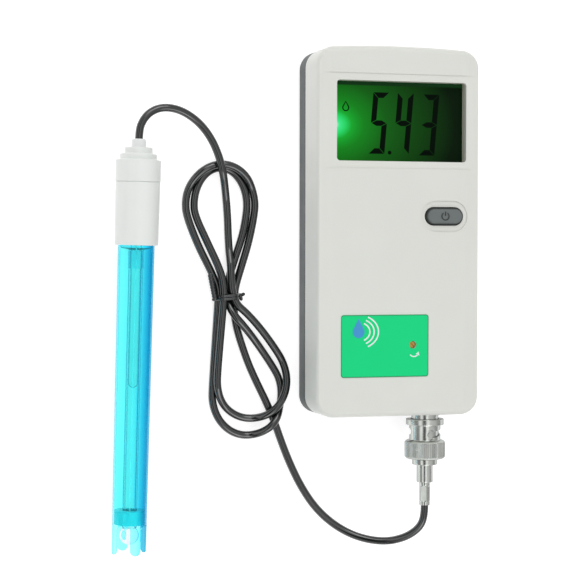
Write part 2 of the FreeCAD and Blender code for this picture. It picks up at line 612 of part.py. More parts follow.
def trimmer():
    """Multi-turn trimmer, whose screw head shows through the plate."""
    low = "Sizes.trim_y - Sizes.trim_edge"
    block = box(("Sizes.trim_x - Sizes.trim_width / 2", low, BOARD_TOP),
                ("Sizes.trim_x + Sizes.trim_width / 2", f"{low} + Sizes.trim_length",
                 f"{BOARD_TOP} + Sizes.trim_height"))
    centre = ("Sizes.trim_x", "Sizes.trim_y")
    bore = cylinder("Sizes.screw_radius + Sizes.screw_gap",
                    "Sizes.screw_top - Sizes.screw_length - Sizes.screw_gap",
                    "Sizes.case_depth", centre)
    node(cut(block, [bore]), "trimmer_body")
    head = cylinder("Sizes.screw_radius", "Sizes.screw_top - Sizes.screw_length",
                    "Sizes.screw_top", centre)
    slot = doc.addObject("Part::Box", "Slot")
    slot.setExpression("Length", "4 * Sizes.screw_radius")
    slot.setExpression("Width", "Sizes.slot_width")
    slot.setExpression("Height", "2 * Sizes.slot_depth")
    aim = FreeCAD.Rotation(V(0, 0, 1), size("Sizes.slot_turn"))
    middle = V(size("Sizes.trim_x"), size("Sizes.trim_y"),
               size("Sizes.screw_top - Sizes.slot_depth"))
    corner = V(-2 * size("Sizes.screw_radius"), -size("Sizes.slot_width") / 2, 0)
    slot.Placement = FreeCAD.Placement(middle + aim.multVec(corner), aim)
    node(cut(head, [slot]), "trimmer_screw")


def power_key():
    """Key cap with a flange below the skirt, its plunger, and the switch on the board."""
    centre = ("Sizes.key_x", "Sizes.key_y")
    body = new_body("power_key")
    flange_top = "Sizes.key_skirt - Sizes.key_play"
    flange = stadium(sketch(body, "XY_Plane", "key_flange", f"{flange_top} - Sizes.key_flange"),
                     centre, "Sizes.hole_length + 2 * Sizes.key_overhang",
                     "Sizes.hole_width + 2 * Sizes.key_overhang")
    pad(body, flange, "Sizes.key_flange")
    cap = stadium(sketch(body, "XY_Plane", "key_cap", flange_top), centre,
                  "Sizes.hole_length - 2 * Sizes.key_gap",
                  "Sizes.hole_width - 2 * Sizes.key_gap")
    raised = pad(body, cap, f"Sizes.key_top - ({flange_top})")
    chamfer(body, raised, at_height(size("Sizes.key_top")), "Sizes.key_bevel")
    node(body, "power_key")
    switch_top = f"{BOARD_TOP} + Sizes.switch_height"
    plunger_low = f"{switch_top} - Sizes.plunger_depth"
    plunger = cylinder("Sizes.plunger_radius", plunger_low,
                       f"{flange_top} - Sizes.key_flange", centre)
    node(plunger, "switch_plunger")
    half = "Sizes.switch_side / 2"
    block = box((f"Sizes.key_x - {half}", f"Sizes.key_y - {half}", BOARD_TOP),
                (f"Sizes.key_x + {half}", f"Sizes.key_y + {half}", switch_top))
    bore = cylinder("Sizes.plunger_radius + Sizes.plunger_gap",
                    f"{plunger_low} - Sizes.key_travel - 0.3", "Sizes.case_depth", centre)
    node(cut(block, [bore]), "switch_body")


# ---------------------------------------------------------------- battery

def battery():
    right = "Sizes.battery_left + Sizes.battery_width"
    top = "Sizes.battery_low_z + Sizes.battery_thickness"
    end = "Sizes.battery_low + Sizes.battery_length"
    body = new_body("battery")
    outline = rectangle(sketch(body, "XZ_Plane", "battery_outline", "-Sizes.battery_low"),
                        "Sizes.battery_left", right, "Sizes.battery_low_z", top)
    block = pad(body, outline, "Sizes.battery_length", down=True)
    fillet(body, block, lambda edge: edge.BoundBox.YLength > 1, "Sizes.battery_round")
    node(body, "battery")
    centre_x = "Sizes.battery_left + Sizes.battery_width / 2"
    centre_z = "Sizes.battery_low_z + Sizes.battery_thickness / 2"
    posts = [cylinder("Sizes.terminal_radius", end, f"{end} + Sizes.terminal_height",
                      (f"{centre_x} {side} Sizes.terminal_pitch / 2", centre_z), along="y")
             for side in "-+"]
    node(fuse(posts), "battery_terminals")
    snap_low = f"{end} + Sizes.terminal_height"
    start = f"{snap_low} + Sizes.snap_thickness"
    snap = box((f"{centre_x} - Sizes.snap_width / 2", snap_low,
                f"{centre_z} - Sizes.snap_depth / 2"),
               (f"{centre_x} + Sizes.snap_width / 2", start,
                f"{centre_z} + Sizes.snap_depth / 2"))
    node(snap, "battery_snap")
    for label, shift in (("battery_wire_red", 1), ("battery_wire_black", 2)):
        across = f"{centre_x} + {shift} * Sizes.wire_pitch"
        lead = cylinder("Sizes.lead_radius", start, f"{start} + Sizes.lead_length",
                        (across, "Sizes.lead_z"), along="y")
        node(lead, label)


# ---------------------------------------------------------------- socket and plug

AXIS = FreeCAD.Placement(V(size("Sizes.socket_x"), 0, size("Sizes.socket_z")),
                         FreeCAD.Rotation())


def socket():
    """Bulkhead coaxial socket: shell with two bayonet lugs, insulator, contact and nut."""
    outer = f"-{HALF_HEIGHT}"
    body = turned("bnc_jack_shell", [
        ("Sizes.barrel_bore", "Sizes.barrel_front"), ("Sizes.barrel_radius", "Sizes.barrel_front"),
        ("Sizes.barrel_radius", "Sizes.rim_front"), ("Sizes.rim_radius", "Sizes.rim_front"),
        ("Sizes.rim_radius", outer), ("Sizes.barrel_radius", outer),
        ("Sizes.barrel_radius", "Sizes.jack_back"),
        ("Sizes.insulator_radius", "Sizes.jack_back"),
        ("Sizes.insulator_radius", "Sizes.barrel_floor"),
        ("Sizes.barrel_bore", "Sizes.barrel_floor")], AXIS)
    NODES.remove(body)
    body.Label = "jack_turning"
    centre = V(size("Sizes.socket_x"), size("Sizes.lug_y"), size("Sizes.socket_z"))
    lugs = []
    for turn in (0, 180):
        lug = doc.addObject("Part::Cylinder", "Lug")
        lug.setExpression("Radius", "Sizes.lug_radius")
        lug.setExpression("Height", "Sizes.lug_tip - Sizes.lug_root")
        aim = FreeCAD.Rotation(V(0, 1, 0), size("Sizes.lug_angle") + turn)
        lug.Placement = FreeCAD.Placement(
            centre + aim.multVec(V(0, 0, size("Sizes.lug_root"))), aim)
        lugs.append(lug)
    node(fuse([body] + lugs), "bnc_jack_shell")
    turned("bnc_jack_insulator", [
        ("Sizes.contact_radius", "Sizes.insulator_front"),
        ("Sizes.insulator_radius", "Sizes.insulator_front"),
        ("Sizes.insulator_radius", "Sizes.jack_back"),
        ("Sizes.contact_radius", "Sizes.jack_back")], AXIS)
    turned("bnc_jack_contact", [
        ("0", "Sizes.contact_back"), ("Sizes.contact_radius", "Sizes.contact_back"),
        ("Sizes.contact_radius", "Sizes.contact_front"),
        ("Sizes.contact_bore", "Sizes.contact_front"),
        ("Sizes.contact_bore", "Sizes.contact_floor"), ("0", "Sizes.contact_floor")], AXIS)
    turned("bnc_jack_nut", tube_profile("Sizes.jack_nut_radius", "Sizes.barrel_radius",
                                        "Sizes.jack_nut_front", "Sizes.jack_nut_back"), AXIS)
    turned("bnc_lock_washer", tube_profile("Sizes.lock_washer_radius", "Sizes.barrel_radius",
                                           f"{outer} + Sizes.wall", "Sizes.jack_nut_front"),
           AXIS)


RAMP_STEPS = 16         # drills that make up one helical slot of the bayonet nut


def slot_drill(turn, travel, radius):
    """Radial drill of a bayonet slot, at a turn past the lug and nearer the mouth by travel."""
    aim = FreeCAD.Rotation(V(0, 1, 0), size("Sizes.lug_angle") + turn)
    centre = AXIS.Base + V(0, size("Sizes.lug_y") + travel, 0)
    drill = doc.addObject("Part::Cylinder", "Drill")
    drill.setExpression("Radius", radius)
    drill.setExpression("Height", "Sizes.slot_reach - Sizes.lug_root")
    drill.Placement = FreeCAD.Placement(
        centre + aim.multVec(V(0, 0, size("Sizes.lug_root"))), aim)
    return drill


def slot_entry(turn):
    """Blind groove inside the mouth, through which a lug reaches its helical slot."""
    aim = FreeCAD.Rotation(V(0, 1, 0), size("Sizes.lug_angle") + turn)
    start = size("Sizes.lug_y + Sizes.unlock_pull")
    corner = V(-size("Sizes.slot_half"), start, size("Sizes.lug_root"))
    groove = doc.addObject("Part::Box", "Entry")
    groove.setExpression("Length", "2 * Sizes.slot_half")
    groove.Width = size("Sizes.nut_front") + 1 - start
    groove.setExpression("Height", "Sizes.entry_reach - Sizes.lug_root")
    groove.Placement = FreeCAD.Placement(AXIS.Base + aim.multVec(corner), aim)
    return groove


def bayonet_nut():
    """Bayonet nut: flanged mouth, thin barrel with two helical slots, and the grip."""
    body = turned("nut_turning", [
        ("Sizes.nut_bore", "Sizes.nut_front"), ("Sizes.nut_flange", "Sizes.nut_front"),
        ("Sizes.nut_flange", "Sizes.flange_back"), ("Sizes.nut_barrel", "Sizes.flange_back"),
        ("Sizes.nut_barrel", "Sizes.grip_front"),
        ("Sizes.grip_radius - Sizes.grip_chamfer", "Sizes.grip_front"),
        ("Sizes.grip_radius", "Sizes.grip_front - Sizes.grip_chamfer"),
        ("Sizes.grip_radius", "Sizes.grip_back + Sizes.grip_chamfer"),
        ("Sizes.grip_radius - Sizes.grip_chamfer", "Sizes.grip_back"),
        ("Sizes.lip_bore", "Sizes.grip_back"), ("Sizes.lip_bore", "Sizes.cavity_back"),
        ("Sizes.cavity_radius", "Sizes.cavity_back"),
        ("Sizes.cavity_radius", "Sizes.cavity_front"),
        ("Sizes.nut_bore", "Sizes.cavity_front")], AXIS)
    NODES.remove(body)
    drills = []
    for turn in (0, 180):
        ramp = [(size("Sizes.unlock_turn") * step / RAMP_STEPS,
                 size("Sizes.unlock_pull") * step / RAMP_STEPS)
                for step in range(RAMP_STEPS + 1)]
        drills += [slot_drill(turn + angle, travel, "Sizes.slot_half") for angle, travel in ramp]
        drills.append(slot_drill(turn, 0, "Sizes.slot_end"))
        drills.append(slot_entry(turn + size("Sizes.unlock_turn")))
    node(cut(body, drills), "bnc_plug_nut")


def plug():
    turned("bnc_plug_body", [
        ("Sizes.sleeve_bore", "Sizes.sleeve_front"), ("Sizes.sleeve_radius", "Sizes.sleeve_front"),
        ("Sizes.sleeve_radius", "Sizes.washer_front"), ("Sizes.plug_flange", "Sizes.washer_front"),
        ("Sizes.plug_flange", "Sizes.washer_back"), ("Sizes.sleeve_radius", "Sizes.washer_back"),
        ("Sizes.sleeve_radius", "Sizes.collar_front"), ("Sizes.collar_radius", "Sizes.collar_front"),
        ("Sizes.collar_radius", "Sizes.collar_back"), ("Sizes.tail_radius", "Sizes.collar_back"),
        ("Sizes.tail_radius", "Sizes.tail_back"), ("0", "Sizes.tail_back"),
        ("0", "Sizes.pin_back"), ("Sizes.core_radius", "Sizes.pin_back"),
        ("Sizes.core_radius", "Sizes.washer_back"), ("Sizes.sleeve_bore", "Sizes.washer_back")],
        AXIS)
    turned("bnc_plug_insulator", [
        ("Sizes.pin_radius", "Sizes.pin_back"), ("Sizes.core_radius", "Sizes.pin_back"),
        ("Sizes.core_radius", "Sizes.washer_back"), ("Sizes.sleeve_bore", "Sizes.washer_back"),
        ("Sizes.sleeve_bore", "Sizes.washer_front + 1"),
        ("Sizes.pin_radius", "Sizes.washer_front + 1")], AXIS)
    turned("bnc_plug_pin", [("0", "Sizes.pin_back"), ("Sizes.pin_radius", "Sizes.pin_back"),
                            ("Sizes.pin_radius", "Sizes.pin_front"), ("0", "Sizes.pin_front")],
           AXIS)
    turned("bnc_plug_gasket", tube_profile("Sizes.gasket_outer", "Sizes.sleeve_radius",
                                           "Sizes.washer_front", "Sizes.gasket_front"), AXIS)
    turned("bnc_plug_spring", tube_profile(
        "Sizes.plug_flange", "Sizes.spring_bore", "Sizes.washer_back",
        "Sizes.cavity_back + Sizes.key_play"), AXIS)
    turned("bnc_crimp_sleeve", [
        ("0", "Sizes.crimp_back"), ("Sizes.crimp_radius", "Sizes.crimp_back"),
        ("Sizes.crimp_radius", "Sizes.tail_back"), ("0", "Sizes.tail_back")], AXIS)


# ---------------------------------------------------------------- cord

METER_LEAD = [(13.4, -99.6, 16.0), (13.4, -104.3, 15.9), (11.6, -108.6, 14.5),
              (7.2, -112.1, 11.8), (0.6, -113.9, 8.4), (-8.0, -112.6, 5.0),
              (-16.0, -108.6, 2.6), (-23.5, -102.0, 1.5), (-29.4, -93.4, 1.4),
              (-33.8, -84.4, 1.4), (-36.9, -76.6, 1.4), (-38.9, -70.4, 1.4)]
PROBE_LEAD = [(-90.8, 32.3, 8.25), (-90.72, 35.6, 8.3), (-89.5, 38.8, 8.35),
              (-87.4, 41.4, 8.4), (-84.4, 43.1, 8.4), (-80.7, 43.7, 8.2),
              (-76.0, 42.9, 7.7), (-71.3, 40.5, 7.1), (-67.2, 36.9, 6.5),
              (-64.1, 32.4, 6.0), (-62.2, 28.0, 5.6), (-61.0, 23.8, 5.4)]


def cord_tube(label, points):
    """Tube along straight runs joined by tangent arcs; prints the arcs' radii."""
    radius = size("Sizes.cord_radius")
    route = [V(*point) for point in points]
    edges, here, radii = [], route[0], []
    for before, corner, after in zip(route, route[1:], route[2:]):
        inward, outward = (before - corner), (after - corner)
        reach = 0.45 * min(inward.Length, outward.Length)
        inward.normalize()
        outward.normalize()
        half_turn = (math.pi - inward.getAngle(outward)) / 2
        bend = reach / math.tan(half_turn)
        radii.append(round(bend, 1))
        start, end = corner + inward * reach, corner + outward * reach
        bisector = inward + outward
        bisector.normalize()
        middle = corner + bisector * (bend / math.cos(half_turn) - bend)
        edges.append(Part.LineSegment(here, start).toShape())
        edges.append(Part.Arc(start, middle, end).toShape())
        here = end
    edges.append(Part.LineSegment(here, route[-1]).toShape())
    path = Part.Wire(edges)
    section = Part.Wire([Part.Circle(route[0], route[1] - route[0], radius).toShape()])
    shape = path.makePipeShell([section], True, False)
    ideal = math.pi * radius ** 2 * path.Length
    if abs(shape.Volume / ideal - 1) > 0.01:
        raise ValueError(f"{label}: volume {shape.Volume} is not {ideal}")
    print(label, "length", round(path.Length, 1), "radii", radii)
    item = doc.addObject("Part::Feature", label)
    item.Shape = shape
    item.Placement = FreeCAD.Placement()
    return node(item, label)


def tangent_point(waist, centre, radius, side):
    """Where a line from a point touches a circle, on the side wanted."""
    towards = centre - waist
    angle = math.asin(radius / towards.Length)
    reach = math.sqrt(towards.Length ** 2 - radius ** 2)
    turn = FreeCAD.Rotation(V(0, 0, 1), side * math.degrees(angle))
    return waist + turn.multVec(towards) * (reach / towards.Length)


def cord_hank():
    """Outer shape of the figure-of-eight hank: two round lobes pinched at the tie."""
    height, half, width = (size("Sizes." + name) for name in
                           ("hank_height", "waist_half", "tie_width"))
    thickness = size("Sizes.tie_thickness")
    waist = V(size("Sizes.waist_x"), size("Sizes.waist_y"), 0)
    left, right = waist - V(half, 0, 0), waist + V(half, 0, 0)
    outline = []
    for lobe, near, far, up in (("upper", left, right, 1), ("lower", right, left, -1)):
        centre = V(size(f"Sizes.lobe_{lobe}_x"), size(f"Sizes.lobe_{lobe}_y"), 0)
        radius = size(f"Sizes.lobe_{lobe}_radius")
        first = tangent_point(near, centre, radius, 1)
        last = tangent_point(far, centre, radius, -1)
        crown = centre + V(0, up * radius, 0)
        outline += [Part.LineSegment(near, first).toShape(),
                    Part.Arc(first, crown, last).toShape(),
                    Part.LineSegment(last, far).toShape()]
    slab = Part.Face(Part.Wire(outline)).extrude(V(0, 0, height))
    block = Part.makeBox(4 * half, width, height, waist - V(2 * half, width / 2, 0))
    core = Part.makeBox(2 * half - thickness, width, height - thickness,
                        waist + V(thickness / 2 - half, -width / 2, thickness))
    shape = slab.cut(block).fuse(core).removeSplitter()
    item = doc.addObject("Part::Feature", "cord_hank")
    item.Shape = shape
    item.Placement = FreeCAD.Placement()
    node(item, "cord_hank")


def cord_tie():
    """Twist tie: a band round the hank's waist and its twisted tail."""
    half, width = "(Sizes.waist_half - Sizes.tie_thickness / 2)", "Sizes.tie_width / 2"
    band = box((f"Sizes.waist_x - {half} - Sizes.tie_thickness",
                f"Sizes.waist_y - {width} + 0.1", "0"),
               (f"Sizes.waist_x + {half} + Sizes.tie_thickness",
                f"Sizes.waist_y + {width} - 0.1", "Sizes.hank_height + Sizes.tie_thickness"))
    core = box((f"Sizes.waist_x - {half}", f"Sizes.waist_y - {width}", "Sizes.tie_thickness"),
               (f"Sizes.waist_x + {half}", f"Sizes.waist_y + {width}", "Sizes.hank_height"))
    tail = doc.addObject("Part::Box", "Tail")
    tail.setExpression("Length", "Sizes.tail_width")
    tail.setExpression("Width", "Sizes.tail_length")
    tail.setExpression("Height", "Sizes.tail_thickness")
    root = V(size("Sizes.waist_x - Sizes.waist_half"), size("Sizes.waist_y"),
             size("Sizes.hank_height") + 0.1)
    tail.Placement = FreeCAD.Placement(root, FreeCAD.Rotation(V(0, 0, 1),
                                                              size("Sizes.tail_turn")))
    node(fuse([cut(band, [core]), tail]), "cord_tie")


# ---------------------------------------------------------------- probe

def probe_place():
    """Place of the probe, which rests on the foot of its cap and on its guard prongs."""
    tilt = size("Sizes.probe_tilt")
    height = (size("Sizes.cap_foot_radius")
              - size("Sizes.cap_foot") * math.tan(math.radians(tilt)))
    yaw = FreeCAD.Rotation(V(0, 0, 1), size("Sizes.probe_yaw"))
    return FreeCAD.Placement(V(size("Sizes.probe_x"), size("Sizes.probe_y"), height),
                             yaw.multiply(FreeCAD.Rotation(V(1, 0, 0), tilt)))


PROBE = probe_place()


def probe_head():
    """Gland and the two-piece cap."""
    turned("probe_gland", [
        ("0", "Sizes.gland_foot"), ("Sizes.gland_radius", "Sizes.gland_foot"),
        ("Sizes.gland_tip_radius", "Sizes.gland_top"), ("0", "Sizes.gland_top")], PROBE)
    slope = "(Sizes.cap_radius - Sizes.cap_foot_radius) / Sizes.cap_foot"
    upper_foot = "Sizes.cap_split + Sizes.cap_groove / 2"
    lower_top = "Sizes.cap_split - Sizes.cap_groove / 2"
    turned("probe_cap", [
        ("0", "Sizes.gland_foot"), ("0", upper_foot),
        (f"Sizes.cap_radius + {slope} * ({upper_foot})", upper_foot),
        ("Sizes.cap_radius", "0"), ("Sizes.ledge_radius", "0"),
        ("Sizes.ledge_radius", "Sizes.neck_foot"), ("Sizes.neck_radius", "Sizes.neck_foot"),
        ("Sizes.neck_radius", "Sizes.gland_foot")], PROBE)
    turned("probe_collar", [
        ("Sizes.ledge_radius", upper_foot), ("Sizes.ledge_radius", "Sizes.cap_foot"),
        ("Sizes.cap_foot_radius", "Sizes.cap_foot"),
        (f"Sizes.cap_radius + {slope} * ({lower_top})", lower_top),
        ("Sizes.neck_radius + 2", lower_top), ("Sizes.neck_radius + 2", upper_foot)], PROBE)


def probe_tube():
    """Transparent tapered tube with four guard prongs round the bulb."""
    body = turned("tube_turning", [
        ("Sizes.tube_bore", "Sizes.tube_top"), ("Sizes.tube_radius", "Sizes.tube_top"),
        ("Sizes.tube_foot_radius", "Sizes.ring_foot"),
        ("Sizes.tube_foot_radius", "Sizes.guard_foot + Sizes.guard_round"),
        ("Sizes.guard_inner + 0.5", "Sizes.guard_foot"), ("Sizes.guard_inner", "Sizes.guard_foot"),
        ("Sizes.guard_inner", "Sizes.ring_foot"), ("Sizes.tube_bore", "Sizes.ring_foot")],
        PROBE)
    NODES.remove(body)
    gaps = []
    half = size("Sizes.guard_width") / math.sqrt(2)
    corner = V(half, size("Sizes.guard_foot") - 2, half)
    for turn in (0, 90, 180, 270):
        gap = doc.addObject("Part::Box", "Gap")
        gap.setExpression("Length", "2 * Sizes.tube_radius")
        gap.setExpression("Width", "Sizes.ring_foot - Sizes.guard_foot + 2")
        gap.setExpression("Height", "2 * Sizes.tube_radius")
        aim = FreeCAD.Rotation(V(0, 1, 0), turn + size("Sizes.guard_turn"))
        gap.Placement = PROBE.multiply(FreeCAD.Placement(aim.multVec(corner), aim))
        gaps.append(gap)
    node(cut(body, gaps), "probe_tube")


def probe_inside():
    """Junction ring, stopper, glass stem with its bulb, wick tube and silver wire."""
    turned("probe_junction", tube_profile("Sizes.tube_bore", "Sizes.stem_radius",
                                          "Sizes.tube_foot", "Sizes.ring_foot"), PROBE)
    turned("probe_stopper", tube_profile("Sizes.stopper_radius", "Sizes.stem_radius",
                                         "Sizes.stopper_top", "Sizes.stopper_foot"), PROBE)
    turned("glass_stem", tube_profile("Sizes.stem_radius", "Sizes.stem_bore",
                                      "Sizes.stem_top", "Sizes.stem_foot"), PROBE)
    bulb = doc.addObject("Part::Sphere", "Bulb")
    bulb.setExpression("Radius", "Sizes.bulb_radius")
    centre = FreeCAD.Placement(V(0, size("Sizes.bulb_centre"), 0), Y_UP)
    bulb.Placement = PROBE.multiply(centre)
    lid = doc.addObject("Part::Box", "Lid")
    for side in ("Length", "Width", "Height"):
        lid.setExpression(side, "4 * Sizes.bulb_radius")
    corner = V(-2 * size("Sizes.bulb_radius"), size("Sizes.stem_foot"),
               -2 * size("Sizes.bulb_radius"))
    lid.Placement = PROBE.multiply(FreeCAD.Placement(corner, FreeCAD.Rotation()))
    node(cut(bulb, [lid]), "glass_bulb")
    turned("wick_tube", tube_profile("Sizes.wick_radius", "Sizes.wick_bore",
                                     "Sizes.wick_top", "Sizes.wick_foot"), PROBE)
    turned("silver_wire", [("0", "Sizes.wire_foot"), ("Sizes.wire_radius", "Sizes.wire_foot"),
                           ("Sizes.wire_radius", "Sizes.wire_top"), ("0", "Sizes.wire_top")],
           PROBE)


# ---------------------------------------------------------------- build and write

for make in (front_shell, back_shell, battery_door, case_screws, front_plate, display,
             main_board, board_screws, chips, trimmer, power_key, battery, socket,
             bayonet_nut, plug, cord_hank, cord_tie, probe_head, probe_tube, probe_inside):
    make()
cord_tube("cord_meter_end", METER_LEAD)
cord_tube("cord_probe_end", PROBE_LEAD)
doc.recompute()

for item in doc.Objects:
    if {"Invalid", "Error"} & set(item.State):
        raise ValueError(f"{item.Name} ({item.Label}) is {item.State}")
os.makedirs("parts", exist_ok=True)
for item in NODES:
    if item.Shape.isNull() or not item.Shape.isValid():
        raise ValueError(f"{item.Label} has no valid shape")
    item.Shape.exportStep(f"parts/{item.Label}.step")
print(len(NODES), "nodes")
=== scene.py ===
"""Handheld pH meter with its corded probe: the looks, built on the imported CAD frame.

The row's frame: +Z out of the front face, +Y towards the display end. Objects and boxes are in
metres; outlines, profiles and routes are written in mm.
"""
import math

import bmesh
import bpy
from mathutils import Matrix, Vector


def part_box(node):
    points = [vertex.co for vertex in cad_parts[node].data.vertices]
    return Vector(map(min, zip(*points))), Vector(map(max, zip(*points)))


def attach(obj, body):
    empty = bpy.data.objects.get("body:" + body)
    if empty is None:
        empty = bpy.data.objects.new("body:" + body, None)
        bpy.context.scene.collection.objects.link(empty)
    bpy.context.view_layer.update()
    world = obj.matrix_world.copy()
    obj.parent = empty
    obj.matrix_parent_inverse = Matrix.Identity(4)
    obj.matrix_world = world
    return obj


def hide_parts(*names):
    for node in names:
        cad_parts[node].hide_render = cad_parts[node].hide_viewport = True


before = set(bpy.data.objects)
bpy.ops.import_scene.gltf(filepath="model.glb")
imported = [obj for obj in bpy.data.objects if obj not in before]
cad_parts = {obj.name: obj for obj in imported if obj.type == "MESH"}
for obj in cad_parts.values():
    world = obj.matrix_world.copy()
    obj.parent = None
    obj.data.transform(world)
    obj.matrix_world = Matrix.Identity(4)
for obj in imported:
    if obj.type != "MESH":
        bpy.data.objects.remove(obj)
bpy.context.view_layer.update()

MM = 0.001
CORD_RADIUS = 1.4 * MM


# ---------------------------------------------------------------- camera and stage

CAMERA_AIM = Vector((-0.0377, -0.0202, 0.013))
CAMERA_DISTANCE = 0.604
CAMERA_LENS, CAMERA_SENSOR = 105.5, 36  # millimetres
CAMERA_ANGLES = 15.68, 1.33, 0.09  # yaw, pitch and roll in degrees


def make_camera():
    """Long lens above the table, leaning to the meter's left and a little to its display."""
    yaw, pitch, roll = (math.radians(angle) for angle in CAMERA_ANGLES)
    back = Vector((-math.sin(yaw) * math.cos(pitch), math.sin(pitch),
                   math.cos(yaw) * math.cos(pitch)))
    level = Vector((0, 1, 0)).cross(back).normalized()
    lift = back.cross(level)
    right = level * math.cos(roll) + lift * math.sin(roll)
    up = lift * math.cos(roll) - level * math.sin(roll)
    data = bpy.data.cameras.new("camera")
    data.sensor_width = CAMERA_SENSOR
    data.lens = CAMERA_LENS
    data.clip_start = 0.01
    camera = bpy.data.objects.new("camera", data)
    bpy.context.collection.objects.link(camera)
    place = Matrix((right, up, back)).transposed().to_4x4()
    place.translation = CAMERA_AIM + back * CAMERA_DISTANCE
    camera.matrix_world = place
    bpy.context.scene.camera = camera


LIGHT_SIZE = 1.0, 0.6
LIGHT_AIM = (-0.03, -0.02, 0)
FAR_POWER, NEAR_POWER = 4.1, 3.2  # watts


def make_light(name, place, power):
    """White soft box aimed at the middle of what lies on the table."""
    data = bpy.data.lights.new(name, "AREA")
    data.shape = "RECTANGLE"
    data.size, data.size_y = LIGHT_SIZE
    data.energy = power
    light = bpy.data.objects.new(name, data)
    bpy.context.collection.objects.link(light)
    light.location = place
    towards = Vector(LIGHT_AIM) - Vector(place)
    light.rotation_euler = towards.to_track_quat("-Z", "Y").to_euler()


# Brightness of the surround by direction, in degrees from +Z towards +X: soft boxes at both
# sides of the camera, and a dim gap between them where it stands.
SURROUND = ((-95, 0.5), (-75, 0.34), (-60, 0.4), (-55, 1.3), (-40, 1.3), (-34, 0.6), (-29, 0.1),
            (-13, 0.1), (-8, 1.4), (6, 1.4), (12, 0.8), (50, 0.7), (70, 0.45), (95, 0.5))
SURROUND_GAIN = 0.86
RAMP_WHITE = 2  # the level that the ramp's white stands for


def make_surround():
    """White surround whose brightness depends on the direction across the meter."""
    world = bpy.data.worlds.new("surround")
    bpy.context.scene.world = world
    world.use_nodes = True
    tree = world.node_tree
    shade = tree.nodes["Background"]
    coordinates = tree.nodes.new("ShaderNodeTexCoord")
    parts = tree.nodes.new("ShaderNodeSeparateXYZ")
    angle = tree.nodes.new("ShaderNodeMath")
    angle.operation = "ARCTAN2"
    share = tree.nodes.new("ShaderNodeMapRange")
    share.inputs["From Min"].default_value = math.radians(SURROUND[0][0])
    share.inputs["From Max"].default_value = math.radians(SURROUND[-1][0])
    ramp = tree.nodes.new("ShaderNodeValToRGB")
    set_ramp(ramp, [((degrees - SURROUND[0][0]) / (SURROUND[-1][0] - SURROUND[0][0]),
                     [level / RAMP_WHITE] * 3 + [1]) for degrees, level in SURROUND])
    tree.links.new(coordinates.outputs["Generated"], parts.inputs["Vector"])
    tree.links.new(parts.outputs["X"], angle.inputs[0])
    tree.links.new(parts.outputs["Z"], angle.inputs[1])
    tree.links.new(angle.outputs["Value"], share.inputs["Value"])
    tree.links.new(share.outputs["Result"], ramp.inputs["Fac"])
    tree.links.new(ramp.outputs["Color"], shade.inputs["Color"])
    shade.inputs["Strength"].default_value = SURROUND_GAIN * RAMP_WHITE


FLOOR_DROP = -0.0001  # keeps the floor out of the plane of the case's back


def make_stage():
    """Pale floor, soft boxes beyond both ends of the meter, and a shaped surround."""
    bpy.ops.mesh.primitive_plane_add(size=6, location=(0, 0, FLOOR_DROP))
    floor = bpy.context.object
    floor.name = "floor"
    floor.data.materials.append(floor_material())
    make_light("far_light", (-0.1, 0.85, 0.95), FAR_POWER)
    make_light("near_light", (0.05, -0.9, 0.95), NEAR_POWER)
    make_surround()
    bpy.context.scene.view_settings.view_transform = "Standard"


# ---------------------------------------------------------------- materials

def srgb(red, green, blue):
    """Linear colour from the familiar 0 to 255 values."""
    def linear(value):
        value /= 255
        return value / 12.92 if value <= 0.04045 else ((value + 0.055) / 1.055) ** 2.4
    return (linear(red), linear(green), linear(blue), 1)


def set_ramp(node, stops):
    """Gives a colour ramp its (position, colour) stops."""
    elements = node.color_ramp.elements
    while len(elements) < len(stops):
        elements.new(0.5)
    for element, (position, colour) in zip(elements, stops):
        element.position = position
        element.color = colour


def shader_of(material):
    return material.node_tree.nodes["Principled BSDF"]


def new_material(name, **values):
    """Principled material; values are sockets set all over the surface."""
    material = bpy.data.materials.new(name)
    material.use_nodes = True
    shader = shader_of(material)
    for socket, value in values.items():
        shader.inputs[socket.replace("_", " ")].default_value = value
    return material


def add_node(material, kind, **settings):
    node = material.node_tree.nodes.new(kind)
    for name, value in settings.items():
        setattr(node, name, value)
    return node


def wire(material, start, out_socket, end, in_socket):
    material.node_tree.links.new(start.outputs[out_socket], end.inputs[in_socket])


def object_noise(material, scale, detail, stretch=(1, 1, 1)):
    """Noise in the object's own coordinates, which are metres."""
    coordinates = add_node(material, "ShaderNodeTexCoord")
    mapping = add_node(material, "ShaderNodeMapping")
    mapping.inputs["Scale"].default_value = stretch
    noise = add_node(material, "ShaderNodeTexNoise")
    noise.inputs["Scale"].default_value = scale
    noise.inputs["Detail"].default_value = detail
    wire(material, coordinates, "Object", mapping, "Vector")
    wire(material, mapping, "Vector", noise, "Vector")
    return noise


def axis_share(material, axis, low, high):
    """Node whose Result goes from 0 to 1 between two places on one of the object's axes."""
    coordinates = add_node(material, "ShaderNodeTexCoord")
    parts = add_node(material, "ShaderNodeSeparateXYZ")
    share = add_node(material, "ShaderNodeMapRange")
    share.inputs["From Min"].default_value = low
    share.inputs["From Max"].default_value = high
    wire(material, coordinates, "Object", parts, "Vector")
    wire(material, parts, axis, share, "Value")
    return share


def mix_colours(material, share, first, second, blend_type="MIX"):
    """Node that goes from one colour to another with share; a colour may be a socket."""
    mixed = add_node(material, "ShaderNodeMixRGB", blend_type=blend_type)
    wire(material, share, "Result", mixed, "Fac")
    for name, colour in (("Color1", first), ("Color2", second)):
        if isinstance(colour, bpy.types.NodeSocket):
            material.node_tree.links.new(colour, mixed.inputs[name])
        else:
            mixed.inputs[name].default_value = colour
    return mixed


def base_colour(material):
    """Socket that gives the material its base colour so far."""
    return shader_of(material).inputs["Base Color"].links[0].from_socket


